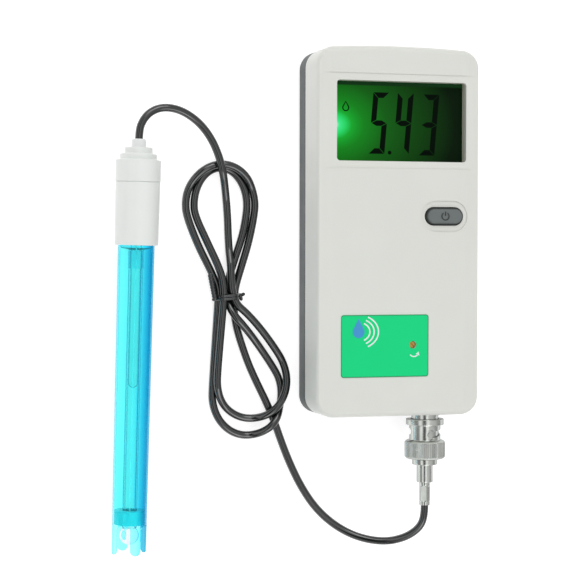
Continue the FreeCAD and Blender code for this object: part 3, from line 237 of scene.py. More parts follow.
def vary_colour(material, colour, noise, spread):
    """Base colour that drifts a little darker and lighter with the noise."""
    ramp = add_node(material, "ShaderNodeValToRGB")
    dark, light = ramp.color_ramp.elements
    dark.position, light.position = 0.3, 0.7
    dark.color = [channel * (1 - spread) for channel in colour[:3]] + [1]
    light.color = [min(1, channel * (1 + spread)) for channel in colour[:3]] + [1]
    wire(material, noise, "Fac", ramp, "Fac")
    wire(material, ramp, "Color", shader_of(material), "Base Color")


def vary_roughness(material, noise, low, high):
    spread = add_node(material, "ShaderNodeMapRange")
    spread.inputs["From Min"].default_value = 0.3
    spread.inputs["From Max"].default_value = 0.7
    spread.inputs["To Min"].default_value = low
    spread.inputs["To Max"].default_value = high
    wire(material, noise, "Fac", spread, "Value")
    wire(material, spread, "Result", shader_of(material), "Roughness")


def add_bump(material, height, strength, depth):
    bump = add_node(material, "ShaderNodeBump")
    bump.inputs["Strength"].default_value = strength
    bump.inputs["Distance"].default_value = depth
    wire(material, height, "Fac", bump, "Height")
    wire(material, bump, "Normal", shader_of(material), "Normal")


def moulded(name, colour, roughness=(0.4, 0.5), grain=2200, strength=0.15, spread=0.03,
            **values):
    """Moulded plastic or rubber: faint mottling, uneven gloss and a fine spark texture."""
    material = new_material(name, **values)
    vary_colour(material, colour, object_noise(material, 60, 4), spread)
    vary_roughness(material, object_noise(material, 140, 3), *roughness)
    add_bump(material, object_noise(material, grain, 2), strength, 0.03 * MM)
    return material


def metal(name, colour, roughness=(0.18, 0.3), stretch=(1, 1, 1), grain=900, strength=0.1):
    """Plated or turned metal; stretch draws its fine tool marks out along an axis."""
    material = new_material(name, Metallic=1.0)
    vary_colour(material, colour, object_noise(material, 200, 3), 0.06)
    vary_roughness(material, object_noise(material, 350, 3), *roughness)
    add_bump(material, object_noise(material, grain, 3, stretch), strength, 0.02 * MM)
    return material


FLOOR_GLOW = 0.75


def floor_material():
    """Pale matt sweep that glows a little, so that shadows on it stay faint."""
    return moulded("studio_floor", (0.5, 0.5, 0.5, 1), (0.85, 0.95), 60, 0.02, 0.004,
                   Emission_Color=(1, 1, 1, 1), Emission_Strength=FLOOR_GLOW)


# Colour of the lit display by distance in millimetres from the light at its left edge.
DISPLAY_GLOW = ((0, (199, 253, 229)), (2.3, (64, 229, 137)), (4.6, (38, 208, 96)),
                (6.8, (22, 164, 44)), (9, (19, 145, 37)), (11.4, (18, 126, 27)),
                (20, (16, 88, 18)), (30, (12, 64, 12)), (39, (7, 42, 6)), (46, (1, 10, 2)))

DISPLAY_SQUASH = 1.3  # the light spreads less far along Y than along X
DISPLAY_LIGHT = 1.2, -1.35  # mm from the middle of the panel's left edge
DISPLAY_TOP_SHADE = 2.9, 2.5  # mm below the panel's top edge, over which the painted shadow along the top fades in


def display_material():
    """Green display lit from its left edge: pale at the light, dark in the far corners."""
    material = new_material("lcd_backlit", Roughness=0.3, Specular_IOR_Level=0.02)
    low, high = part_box("lcd_panel")
    light = Vector((low.x + DISPLAY_LIGHT[0] * MM,
                    (low.y + high.y) / 2 + DISPLAY_LIGHT[1] * MM, 0))
    reach = DISPLAY_GLOW[-1][0] * MM
    scale = Vector((1, DISPLAY_SQUASH, 0)) / reach
    coordinates = add_node(material, "ShaderNodeTexCoord")
    mapping = add_node(material, "ShaderNodeMapping", vector_type="POINT")
    mapping.inputs["Location"].default_value = -light * scale
    mapping.inputs["Scale"].default_value = scale
    distance = add_node(material, "ShaderNodeVectorMath", operation="LENGTH")
    wire(material, coordinates, "Object", mapping, "Vector")
    wire(material, mapping, "Vector", distance, 0)
    glow = add_node(material, "ShaderNodeValToRGB")
    set_ramp(glow, [(place / DISPLAY_GLOW[-1][0], srgb(*colour))
                    for place, colour in DISPLAY_GLOW])
    wire(material, distance, "Value", glow, "Fac")
    # painted shadow: a dull dark line along the top, where the upper wall of the display's well
    # shades it
    edge = axis_share(material, "Y", *(high.y - depth * MM for depth in DISPLAY_TOP_SHADE))
    mixed = mix_colours(material, edge, glow.outputs["Color"], srgb(12, 44, 18))
    shader = shader_of(material)
    shader.inputs["Base Color"].default_value = (0.004, 0.01, 0.004, 1)
    wire(material, mixed, "Color", shader, "Emission Color")
    shader.inputs["Emission Strength"].default_value = 1.0
    return material


def glancing_painted_shade(material, painted_shade_tint, start, full):
    """Painted shade: multiplies the base colour by a dark tint at glancing angles."""
    facing = add_node(material, "ShaderNodeLayerWeight")
    facing.inputs["Blend"].default_value = 0.5
    share = add_node(material, "ShaderNodeMapRange")
    share.inputs["From Min"].default_value = start
    share.inputs["From Max"].default_value = full
    wire(material, facing, "Facing", share, "Value")
    mixed = mix_colours(material, share, base_colour(material), painted_shade_tint, "MULTIPLY")
    wire(material, mixed, "Color", shader_of(material), "Base Color")
    return material


def clear_plastic(name, colour, roughness, ior):
    material = new_material(name, Roughness=roughness, IOR=ior, Transmission_Weight=1.0)
    vary_colour(material, colour, object_noise(material, 90, 3), 0.02)
    add_bump(material, object_noise(material, 160, 2), 0.05, 0.05 * MM)
    return material


TUBE_RADIUS = 6.5  # at the tube's top, in mm


def tube_painted_shade_material():
    """Clear blue plastic with painted shade deeper towards the tube's right, and a faint painted
    glow.
    """
    material = new_material("tube_blue", Roughness=0.03, IOR=1.14, Transmission_Weight=1.0,
                            Emission_Strength=0.02)
    # painted shade: the blue darkens from the tube's left side to its right
    share = axis_share(material, "X", -TUBE_RADIUS * MM, TUBE_RADIUS * MM)
    painted_shade_tint = add_node(material, "ShaderNodeValToRGB")
    set_ramp(painted_shade_tint, [(0.0, srgb(104, 226, 242)), (0.08, srgb(166, 254, 255)),
                    (0.6, srgb(158, 253, 255)), (0.72, srgb(126, 240, 251)),
                    (0.84, srgb(84, 200, 228)), (1.0, srgb(56, 166, 202))])
    wire(material, share, "Result", painted_shade_tint, "Fac")
    wire(material, painted_shade_tint, "Color", shader_of(material), "Base Color")
    # painted glow: the same colours shine faintly from the tube
    wire(material, painted_shade_tint, "Color", shader_of(material), "Emission Color")
    add_bump(material, object_noise(material, 160, 2), 0.05, 0.05 * MM)
    return material


KEY_SHADE = 1.1, 0.3  # mm below the key's top, from dark to light


def key_material():
    """Grey rubber, nearly black down its sides, where the hole shades it."""
    material = moulded("key_grey", srgb(106, 113, 112), (0.5, 0.6), 1500, 0.15, 0.03)
    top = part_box("power_key")[1].z
    share = axis_share(material, "Z", *(top - depth * MM for depth in KEY_SHADE))
    mixed = mix_colours(material, share, srgb(40, 46, 45), base_colour(material))
    wire(material, mixed, "Color", shader_of(material), "Base Color")
    return material


MATERIALS = {
    "case_white": moulded("case_white", srgb(224, 225, 219), (0.42, 0.52), 1800, 0.12, 0.012),
    "case_grey": moulded("case_grey", srgb(72, 79, 79), (0.45, 0.55), 1800, 0.15, 0.03),
    "frame_white": moulded("frame_white", srgb(196, 197, 180), (0.5, 0.6)),
    "plate_green": moulded("plate_green", srgb(6, 218, 132), (0.45, 0.55), 1200, 0.05, 0.015,
                           Specular_IOR_Level=0.25),
    "display": display_material(),
    "key_grey": key_material(),
    "board": moulded("board_green", srgb(20, 92, 50), (0.3, 0.45), 400, 0.1, 0.08),
    "black": moulded("black_plastic", srgb(34, 34, 34), (0.4, 0.5)),
    "blue": moulded("blue_plastic", srgb(30, 80, 170), (0.3, 0.4)),
    "zebra": moulded("zebra_rubber", srgb(214, 170, 176), (0.6, 0.7)),
    "steel": metal("zinc_steel", srgb(176, 176, 174), (0.25, 0.4)),
    "brass": metal("trimmer_brass", srgb(196, 160, 92), (0.25, 0.35)),
    # painted shade: the nickel's rims darken at glancing angles
    "nickel": glancing_painted_shade(metal("nickel_plate", srgb(204, 207, 202), (0.16, 0.24), (1, 0.05, 1)),
                        srgb(112, 119, 120), 0.4, 0.9),
    "gold": metal("gold_plate", srgb(222, 180, 92), (0.2, 0.3)),
    "ptfe": moulded("ptfe_white", srgb(238, 238, 235), (0.5, 0.6)),
    "gasket": moulded("gasket_red", srgb(160, 52, 38), (0.5, 0.6)),
    "cord": moulded("cord_jacket", srgb(12, 15, 16), (0.1, 0.15), 1200, 0.06, 0.06, IOR=1.85),
    "battery": moulded("battery_jacket", srgb(28, 54, 110), (0.25, 0.35)),
    "red": moulded("red_wire", srgb(190, 30, 26), (0.35, 0.45)),
    "guide": moulded("light_guide", srgb(226, 240, 228), (0.2, 0.3)),
    "cap": moulded("cap_white", srgb(236, 239, 236), (0.3, 0.4), 1500, 0.05, 0.01),
    "gland": moulded("gland_white", srgb(238, 240, 240), (0.25, 0.35), 900, 0.1, 0.02),
    # painted shade: the tube deepens to its right and darkens at glancing angles, with a faint
    # painted glow
    "tube": glancing_painted_shade(tube_painted_shade_material(), srgb(44, 150, 190), 0.6, 0.95),
    "ring": moulded("ring_blue", srgb(90, 242, 255), (0.15, 0.25), 900, 0.05, 0.02),
    # painted shade: the glass stem's edges darken at glancing angles
    "glass": glancing_painted_shade(clear_plastic("stem_glass", srgb(240, 252, 252), 0.02, 1.1),
                       srgb(24, 140, 178), 0.3, 0.75),
    # painted glow: the wire's coating shines, to brighten it inside the shaded tube
    "silver": moulded("silver_coating_painted_glow", srgb(214, 250, 250), (0.3, 0.4),
                      Emission_Color=srgb(120, 246, 250), Emission_Strength=0.4),
    "bulb": clear_plastic("bulb_glass_thick", srgb(244, 244, 252), 0.06, 1.22),
    "seal": clear_plastic("seal_blue", srgb(190, 240, 252), 0.15, 1.15),
    "ink": moulded("display_ink", srgb(6, 16, 8), (0.5, 0.6), Specular_IOR_Level=0.02),
    "key_dark": moulded("key_mark", srgb(54, 60, 58), (0.5, 0.6)),
    "print_white": moulded("print_white", srgb(232, 240, 240), (0.4, 0.5)),
    "print_blue": moulded("print_blue", srgb(60, 150, 210), (0.4, 0.5)),
    # dark green line just inside the plate's edge
    "plate_edge_green": moulded("plate_edge_green", srgb(30, 128, 88), (0.4, 0.5)),
    "tie": moulded("tie_plastic", srgb(20, 25, 27), (0.2, 0.3), 700, 0.3, 0.08, IOR=1.7),
}

NODE_MATERIALS = {
    "case_white": "front_shell", "case_grey": "back_shell battery_door",
    "plate_green": "front_plate", "display": "lcd_panel", "frame_white": "lcd_frame",
    "zebra": "zebra_strips", "guide": "backlight_guide", "board": "main_board",
    "steel": "case_screws board_screws bnc_lock_washer bnc_plug_spring",
    "ptfe": "backlight_led bnc_jack_insulator bnc_plug_insulator",
    "black": "converter_chip amplifier_chip capacitors switch_plunger switch_body "
             "battery_snap battery_wire_black",
    "blue": "trimmer_body", "brass": "trimmer_screw", "key_grey": "power_key",
    "battery": "battery", "red": "battery_wire_red", "gold": "bnc_jack_contact bnc_plug_pin",
    "nickel": "battery_terminals bnc_jack_shell bnc_jack_nut bnc_plug_nut bnc_plug_body "
              "bnc_crimp_sleeve",
    "gasket": "bnc_plug_gasket", "cord": "cord_tie cord_meter_end cord_probe_end cord_hank",
    "gland": "probe_gland", "cap": "probe_cap probe_collar", "tube": "probe_tube",
    "ring": "probe_junction probe_stopper", "glass": "glass_stem glass_bulb wick_tube",
    "silver": "silver_wire",
}


def dress_frame():
    """Gives every CAD node its material."""
    for key, names in NODE_MATERIALS.items():
        for name in names.split():
            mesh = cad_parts[name].data
            mesh.materials.clear()
            mesh.materials.append(MATERIALS[key])


# ---------------------------------------------------------------- cord

TIE_LOW, TIE_HIGH = -26.0, -20.6  # where the strands enter and leave the tie, in mm
FLOOR, ABOVE = 1.4, 4.35  # heights of a strand on the table and on another one


def lobe(centre, radii, start, end, heights):
    """Control points round one lobe of the hank, clockwise, one for each of the heights."""
    points = []
    last = len(heights) - 1
    widen = 1 / math.cos(math.radians(abs(end - start)) / last / 2)
    for index, height in enumerate(heights):
        angle = math.radians(start + (end - start) * index / last)
        points.append((centre[0] + radii[0] * widen * math.cos(angle),
                       centre[1] + radii[1] * widen * math.sin(angle), height))
    return points


def through_tie(above, below, down):
    """Two control points that take a strand through the tie, each (x, height)."""
    points = [(above[0], TIE_HIGH, above[1]), (below[0], TIE_LOW, below[1])]
    return points if down else points[::-1]


def cord_route():
    """Control points of the whole cord, in mm, from the probe's gland to the plug."""
    probe_lead = [(-90.8, 32.3, 8.25), (-90.72, 35.6, 8.3), (-89.5, 38.8, 8.35),
                  (-87.4, 41.4, 8.4), (-84.4, 43.1, 8.4), (-80.7, 43.7, 8.2),
                  (-76.0, 42.9, 7.7), (-71.3, 40.5, 7.1), (-67.2, 36.9, 6.8),
                  (-64.1, 32.4, 6.9), (-62.2, 28.0, 7.3), (-61.0, 24.2, 7.4),
                  (-60.1, 20.7, 6.8), (-59.0, 16.8, 4.6), (-57.9, 12.0, 2.2),
                  (-57.2, 6.0, FLOOR), (-56.9, -2.0, FLOOR), (-56.8, -7.5, 2.4),
                  (-56.7, -11.5, 4.2), (-56.6, -16.0, 4.7)]
    meter_lead = [(-54.7, -29.5, FLOOR), (-53.6, -35.5, FLOOR), (-51.6, -41.8, FLOOR),
                  (-49.1, -48.6, FLOOR), (-45.9, -55.4, FLOOR), (-42.3, -62.6, FLOOR),
                  (-39.3, -69.8, FLOOR), (-36.9, -76.6, FLOOR), (-33.8, -84.4, FLOOR),
                  (-29.4, -93.4, FLOOR), (-23.5, -102.0, 1.5), (-16.0, -108.6, 2.6),
                  (-8.0, -112.6, 5.0), (0.6, -113.9, 8.4), (7.2, -112.1, 11.8),
                  (11.6, -108.6, 14.5), (13.4, -104.3, 15.9), (13.4, -99.6, 16.0)]
    lower_inner = lobe((-48.6, -53.5), (13.0, 14.2), 40, -188,
                       [3.4, 2.8, 3.7, ABOVE, 4.6, 4.9, 4.2, 2.0] + [FLOOR] * 3
                       + [2.9, ABOVE, ABOVE])
    upper_inner = lobe((-59.75, 9.5), (9.75, 13.4), 195, -15, [FLOOR] * 12)
    lower_outer = lobe((-49.9, -59.0), (12.9, 14.8), 33, -188,
                       [FLOOR] * 4 + [4.5, 5.0, 3.2] + [FLOOR] * 7)
    upper_outer = lobe((-59.8, 9.5), (12.8, 14.6), 195, -15,
                       [FLOOR] * 3 + [3.2] + [ABOVE] * 3 + [4.1, 3.4] + [FLOOR] * 3)
    return (probe_lead
            + through_tie((-56.4, 4.75), (-54.9, 4.75), down=True)
            + [(-50.7, -29.4, 4.6), (-44.9, -35.7, 4.2)]
            + lower_inner
            + through_tie((-59.2, 4.75), (-59.5, 4.75), down=False)
            + [(-60.4, -14.2, 4.5), (-64.7, -4.2, 2.4)]
            + upper_inner
            + [(-51.6, -1.5, FLOOR), (-54.4, -9.5, FLOOR), (-56.4, -15.5, 1.7)]
            + through_tie((-57.7, 2.25), (-57.4, 2.8), down=True)
            + [(-55.4, -30.2, 4.8), (-51.9, -33.9, 4.3), (-46.6, -39.9, 2.0)]
            + lower_outer
            + through_tie((-60.7, 2.25), (-60.9, 2.25), down=False)
            + [(-63.4, -14.2, 2.0), (-68.1, -5.0, FLOOR)]
            + upper_outer
            + [(-49.3, -4.0, FLOOR), (-52.0, -12.5, 1.6)]
            + through_tie((-54.7, 2.25), (-54.7, 1.9), down=True)
            + meter_lead)


def make_cord():
    data = bpy.data.curves.new("cord", "CURVE")
    data.dimensions = "3D"
    spline = data.splines.new("NURBS")
    route = cord_route()
    spline.points.add(len(route) - 1)
    for point, place in zip(spline.points, route):
        point.co = (*(value * MM for value in place), 1)
    spline.order_u = 3
    spline.use_endpoint_u = True
    spline.resolution_u = 10
    data.bevel_depth = CORD_RADIUS
    data.bevel_resolution = 8
    data.use_fill_caps = True
    data.materials.append(MATERIALS["cord"])
    cord = bpy.data.objects.new("cord", data)
    bpy.context.collection.objects.link(cord)
    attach(cord, "probe_lead")
    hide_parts("cord_meter_end", "cord_hank", "cord_probe_end")
    plug = [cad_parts[name] for name in ("bnc_plug_insulator", "bnc_plug_pin",
                                              "bnc_plug_gasket", "bnc_plug_spring")]
    plug += [bpy.data.objects[name] for name in ("bayonet_nut", "plug_body", "crimp_sleeve",
                                                 "tie_wire")]


# ---------------------------------------------------------------- mesh helpers

def place_piece(name, mesh, material, body, nodes=(), place=None, crease=38):
    """Object for a finished mesh: shaded, dressed, riding a body, standing for CAD nodes."""
    mesh.materials.append(MATERIALS[material])
    mesh.shade_smooth()
    mesh.set_sharp_from_angle(angle=math.radians(crease))
    piece = bpy.data.objects.new(name, mesh)
    bpy.context.collection.objects.link(piece)
    if place is not None:
        piece.matrix_world = place
    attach(piece, body)
    if nodes:
        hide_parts(*nodes)


def new_mesh(name, vertices, faces):
    """Mesh from millimetre vertices, with doubles merged and normals pointing out."""
    work = bmesh.new()
    made = [work.verts.new(Vector(vertex) * MM) for vertex in vertices]
    for face in faces:
        work.faces.new([made[index] for index in face])
    bmesh.ops.remove_doubles(work, verts=work.verts, dist=0.002 * MM)
    bmesh.ops.recalc_face_normals(work, faces=work.faces)
    mesh = bpy.data.meshes.new(name)
    work.to_mesh(mesh)
    work.free()
    return mesh


def gather(solids):
    """Several (vertices, faces) lists as one."""
    vertices, faces = [], []
    for more_vertices, more_faces in solids:
        faces += [[index + len(vertices) for index in face] for face in more_faces]
        vertices += more_vertices
    return vertices, faces


def softened(profile, radius, closed=True, arc=4):
    """The profile with each corner rounded to a curve no larger than radius."""
    rounded = []
    last = len(profile) - 1
    for index, corner in enumerate(profile):
        here = Vector(corner)
        if not closed and index in (0, last):
            rounded.append(here)
            continue
        before = Vector(profile[index - 1]) - here
        after = Vector(profile[(index + 1) % len(profile)]) - here
        reach = min(radius, 0.45 * before.length, 0.45 * after.length)
        start, end = here + before.normalized() * reach, here + after.normalized() * reach
        for step in range(arc + 1):
            share = step / arc
            rounded.append(start * (1 - share) ** 2 + here * (2 * share * (1 - share))
                           + end * share ** 2)
    return rounded


def turned(profile, closed=True, steps=96, shape=None):
    """Profile of (radius, level) turned about the Y axis; shape(radius, level, angle)
    gives another radius where the piece isn't round."""
    vertices, faces = [], []
    for radius, level in profile:
        for step in range(steps):
            angle = 2 * math.pi * step / steps
            reach = shape(radius, level, angle) if shape else radius
            vertices.append((reach * math.sin(angle), level, reach * math.cos(angle)))
    rows = len(profile)
    for row in range(rows if closed else rows - 1):
        low, high = row * steps, (row + 1) % rows * steps
        for step in range(steps):
            across = (step + 1) % steps
            faces.append((low + step, low + across, high + across, high + step))
    if not closed:
        faces += [range(steps), range((rows - 1) * steps, rows * steps)]
    return vertices, faces


def slab(outline, low, high):
    """Flat plate over a convex or simple outline of (x, y) points."""
    count = len(outline)
    vertices = [(x, y, low) for x, y in outline] + [(x, y, high) for x, y in outline]
    faces = [list(range(count)), list(range(count, 2 * count))]
    faces += [(index, (index + 1) % count, count + (index + 1) % count, count + index)
              for index in range(count)]
    return vertices, faces


def stroke(points, width, low, high):
    """Flat line of even width along (x, y) points; it closes if it ends where it starts."""
    loop = math.dist(points[0], points[-1]) < 0.01
    spots = [Vector(point) for point in (points[:-1] if loop else points)]
    count = len(spots)
    vertices, faces = [], []
    for index, spot in enumerate(spots):
        before = spots[index - 1] if loop or index else spot
        after = spots[(index + 1) % count] if loop or index < count - 1 else spot
        along = (after - before).normalized()
        side = Vector((-along.y, along.x)) * width / 2
        vertices += [(*(spot + side), low), (*(spot - side), low),
                     (*(spot - side), high), (*(spot + side), high)]
    for index in range(count if loop else count - 1):
        near, far = 4 * index, 4 * ((index + 1) % count)
        faces += [(near + corner, near + (corner + 1) % 4, far + (corner + 1) % 4, far + corner)
                  for corner in range(4)]
    if not loop:
        faces += [(0, 1, 2, 3), tuple(range(4 * count - 4, 4 * count))]
    return vertices, faces


def arc_points(centre, radii, start, end, count):
    """Points of an elliptical arc, angles in degrees from +X."""
    points = []
    for index in range(count + 1):
        angle = math.radians(start + (end - start) * index / count)
        points.append((centre[0] + radii[0] * math.cos(angle),
                       centre[1] + radii[1] * math.sin(angle)))
    return points


def tube_mesh(name, paths, radius, closed=()):
    """Mesh of round tubes along millimetre paths; closed lists the paths that are rings."""
    data = bpy.data.curves.new(name, "CURVE")
    data.dimensions = "3D"
    data.bevel_depth = radius * MM
    data.bevel_resolution = 4
    data.use_fill_caps = True
    for index, path in enumerate(paths):
        spline = data.splines.new("NURBS")
        spline.points.add(len(path) - 1)
        for point, place in zip(spline.points, path):
            point.co = (*(value * MM for value in place), 1)
        spline.order_u = 3
        spline.use_cyclic_u = index in closed
        spline.use_endpoint_u = index not in closed
        spline.resolution_u = 4
    curve = bpy.data.objects.new(name, data)
    bpy.context.collection.objects.link(curve)
    mesh = bpy.data.meshes.new_from_object(
        curve.evaluated_get(bpy.context.evaluated_depsgraph_get()))
    bpy.data.objects.remove(curve)
    mesh.materials.clear()
    return mesh


# ---------------------------------------------------------------- twist tie

STRANDS = ((-60.7, 2.25), (-57.7, 2.25), (-54.7, 2.25), (-59.2, 4.75), (-56.2, 4.75))
TIE_WIRE = 0.62  # radius of the tie's plastic-covered wire
TIE_MIDDLE, TIE_SLOPE = (-57.7, -23.6), 0.08


def tie_wrap(shift, clearance, count=28):
    """One turn of the tie round the bundled strands, a little lower at its left."""
    points = []
    for index in range(count):
        angle = 2 * math.pi * index / count
        aim = Vector((math.cos(angle), math.sin(angle)))
        strand = max(STRANDS, key=lambda spot: aim.dot(Vector(spot)))
        reach = CORD_RADIUS / MM + clearance
        across, height = Vector(strand) + aim * reach
        height = max(height, TIE_WIRE)
        level = TIE_MIDDLE[1] + shift + TIE_SLOPE * (across - TIE_MIDDLE[0])
        points.append((across, level, height))
    return points


def twisted_tail(path, phase, radius=0.42, pitch=2.1, steps=60):
    """One wire of the tie's twisted end, winding round a straight line."""
    start, end = Vector(path[0]), Vector(path[1])
    along = (end - start).normalized()
    side = along.cross(Vector((0, 0, 1))).normalized()
    lift = side.cross(along)
    points = []
    for index in range(steps + 1):
        share = index / steps
        angle = phase + 2 * math.pi * share * (end - start).length / pitch
        points.append(start.lerp(end, share) + (side * math.cos(angle)
                                                + lift * math.sin(angle)) * radius)
    return points


def make_tie():
    """Two turns of wire side by side, with a long twisted end and a short one."""
    shift, clearance = 0.52, 0.45
    tail = ((-62.5, -24.2, 4.6), (-64.3, -15.4, 4.7))
    knot = ((-53.0, -24.3, 3.6), (-52.1, -22.3, 3.9))
    paths = [tie_wrap(shift, clearance), tie_wrap(-shift, clearance),
             twisted_tail(tail, 0), twisted_tail(tail, math.pi), twisted_tail(knot, 0, 0.35)]
    mesh = tube_mesh("tie_wire", paths, TIE_WIRE, closed=(0, 1))
    place_piece("tie_wire", mesh, "tie", "probe_lead", ["cord_tie"])


# ---------------------------------------------------------------- display and key

DIGIT_HEIGHT, DIGIT_WIDTH, DIGIT_SLANT, SEGMENT, SEGMENT_GAP = 21.9, 6.0, 0.085, 1.95, 0.13
SEGMENTS_LIT = {"3": "abcdg", "4": "bcfg", "5": "acdfg"}
READING = (("5", -10.4, 27.8), ("4", -1.15, 27.9), ("3", 8.6, 27.5))  # digit, left and foot
POINT, POINT_RADIUS = (-2.4, 28.3), 0.7


def digit_segments():
    """Outlines of the seven segments of an upright digit, mitred where they meet."""
    wide, tall, line, gap = DIGIT_WIDTH, DIGIT_HEIGHT, SEGMENT, SEGMENT_GAP
    middle = tall / 2
    top = [(gap, tall), (wide - gap, tall), (wide - line - gap, tall - line),
           (line + gap, tall - line)]
    left = [(0, tall - gap), (line, tall - line - gap), (line, middle + line / 2 + gap),
            (0, middle + gap)]
    bar = [(2 * gap, middle), (line + gap, middle + line / 2),
           (wide - line - gap, middle + line / 2), (wide - 2 * gap, middle),
           (wide - line - gap, middle - line / 2), (line + gap, middle - line / 2)]

    def mirrored(outline, across=False, down=False):
        return [(wide - x if across else x, tall - y if down else y) for x, y in outline]

    return {"a": top, "d": mirrored(top, down=True), "g": bar, "f": left,
            "e": mirrored(left, down=True), "b": mirrored(left, across=True),
            "c": mirrored(left, across=True, down=True)}


def digit(character, left, foot):
    """Outlines of one digit's lit segments, leaning to the right."""
    outlines = digit_segments()
    return [[(left + x + DIGIT_SLANT * y, foot + y) for x, y in outlines[segment]]
            for segment in SEGMENTS_LIT[character]]


def drop_outline(centre, radius, tip, count):
    """Round drop with its pointed tip at a level above its centre."""
    return [(centre[0], tip)] + arc_points(centre, (radius, radius), 35, -215, count)


def make_display():
    """Reading and a small drop mark, dark on the lit display."""
    thickness, line = 0.05, 0.42
    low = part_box("lcd_panel")[1].z / MM
    high = low + thickness
    solids = [slab(bar, low, high) for place in READING for bar in digit(*place)]
    solids.append(slab(arc_points(POINT, (POINT_RADIUS, POINT_RADIUS), 0, 345, 23), low, high))
    drop = drop_outline((-18.9, 44.0), 1.1, 46.2, 24)
    solids.append(stroke(drop + drop[:1], line, low, high))
    place_piece("display_reading", new_mesh("display_reading", *gather(solids)), "ink",
                "meter")


def stadium_loop(length, width, level, count=20):
    """Loop of points of a straight-sided oval round the middle of the key."""
    radius = width / 2
    reach = length / 2 - radius
    points = []
    for side, start in ((1, -90), (-1, 90)):
        for index in range(count + 1):
            angle = math.radians(start + 180 * index / count)
            points.append((side * reach + radius * math.cos(angle),
                           radius * math.sin(angle), level))
    return points


def make_key():
    """Rubber key with a bevelled, slightly dished top and a moulded power mark."""
    low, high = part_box("power_key")
    centre = (low + high) / 2 / MM
    top = high.z / MM
    length, width = 14.3, 6.3
    rings = ((0, top - 6.4), (0, top - 1.9), (0.3, top - 1.3), (0.75, top - 0.35),
             (0.95, top - 0.08), (1.2, top), (1.7, top - 0.12), (2.3, top - 0.2))
    vertices, faces = [], []
    for inset, level in rings:
        vertices += stadium_loop(length - 2 * inset, width - 2 * inset, level)
    count = len(vertices) // len(rings)
    for row in range(len(rings) - 1):
        for index in range(count):
            across = (index + 1) % count
            faces.append((row * count + index, row * count + across,
                          (row + 1) * count + across, (row + 1) * count + index))
    faces += [list(range(count)), list(range((len(rings) - 1) * count, len(rings) * count))]
    vertices = [(x + centre.x, y + centre.y, z) for x, y, z in vertices]
    place_piece("key_cap", new_mesh("key_cap", vertices, faces), "key_grey", "power_key",
                ["power_key"])
    mark_low, mark_high, radius, line = top - 0.2, top + 0.04, 1.35, 0.36
    solids = [stroke(arc_points(centre[:2], (radius, radius), 125, 415, 30), line,
                     mark_low, mark_high),
              stroke([(centre.x, centre.y + 0.15), (centre.x, centre.y + 1.75)], line,
                     mark_low, mark_high)]
    place_piece("key_mark", new_mesh("key_mark", *gather(solids)), "key_dark", "power_key")


def make_plate_border():
    """Thin dark line just inside the plate's edge."""
    low, high = (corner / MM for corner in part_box("front_plate"))
    inset, bend, line, thickness = 0.15, 0.85, 0.26, 0.03
    reach = inset + bend
    corners = ((high.x - reach, high.y - reach, 90), (high.x - reach, low.y + reach, 0),
               (low.x + reach, low.y + reach, -90), (low.x + reach, high.y - reach, -180))
    path = []
    for x, y, start in corners:
        path += arc_points((x, y), (bend, bend), start, start - 90, 6)
    path.append(path[0])
    border = stroke(path, line, high.z, high.z + thickness)
    place_piece("plate_border", new_mesh("plate_border", *border), "plate_edge_green", "meter")


def make_plate_marks():
    """Plain printed marks on the plate: a drop with ripples, and a turning arrow."""
    thickness, line = 0.04, 0.5
    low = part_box("front_plate")[1].z / MM
    high = low + thickness
    centre = (-15.4, -35.6)
    drop = drop_outline(centre, 2.2, -30.9, 30)
    ripples = [stroke(arc_points(centre, (reach, reach * 0.8), -62, 62, 20), line, low, high)
               for reach in (4.2, 5.8, 7.4)]
    place_piece("plate_drop", new_mesh("plate_drop", *slab(drop, low, high)), "print_blue",
                "meter")
    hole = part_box("trimmer_screw")
    middle = (hole[0] + hole[1]) / 2 / MM
    turn = arc_points((middle.x + 0.4, middle.y - 3.1), (1.5, 1.1), 200, 340, 16)
    tip = turn[-1]
    arrow = slab([(tip[0] - 0.75, tip[1] + 0.15), (tip[0] + 0.6, tip[1] - 0.35),
                  (tip[0] + 0.35, tip[1] + 1.0)], low, high)
    place_piece("plate_prints", new_mesh("plate_prints", *gather(
        ripples + [stroke(turn, 0.4, low, high), arrow])), "print_white", "meter")


# ---------------------------------------------------------------- bayonet plug

# Along the plug's axis, in mm: the nut's mouth and the two ends of its grip.
MOUTH, GRIP_TOP, GRIP_FOOT = -67.95, -76.4, -81.8
SOCKET = Matrix.Translation((0.0134, 0, 0.016))
RIDGES, KNURL_TOP = 72, -75.9
GRIP_RADIUS, BARREL_RADIUS = 7.4, 5.7

# The bayonet slot: the radii that its cutters reach, half its width, the radius of the hole
# that the lug rests in and that hole's place in degrees and mm, and how far the nut draws
# back and turns until the lug is free.
SLOT_INNER, SLOT_OUTER, GROOVE_REACH = 4.6, 6.2, 5.45
SLOT_HALF, SLOT_END, SLOT_START = 1.1, 1.9, 1
LUG_LEVEL, UNLOCK_PULL, UNLOCK_TURN = -73.6, 1.05, math.radians(85)


def knurled(radius, level, angle):
    """Straight ridges along the grip, shallower where its ends begin to slope."""
    slope, deep, shallow = 0.35, 0.15, 0.08
    if radius < GRIP_RADIUS - slope or level > KNURL_TOP:
        return radius
    depth = shallow if radius < GRIP_RADIUS - 0.02 else deep
    return radius - depth * (0.5 - 0.5 * math.cos(RIDGES * angle))


def on_barrel(reach, angle, level):
    """Point at a distance from the plug's axis, at an angle from +Z towards +X."""
    return reach * math.sin(angle), level, reach * math.cos(angle)


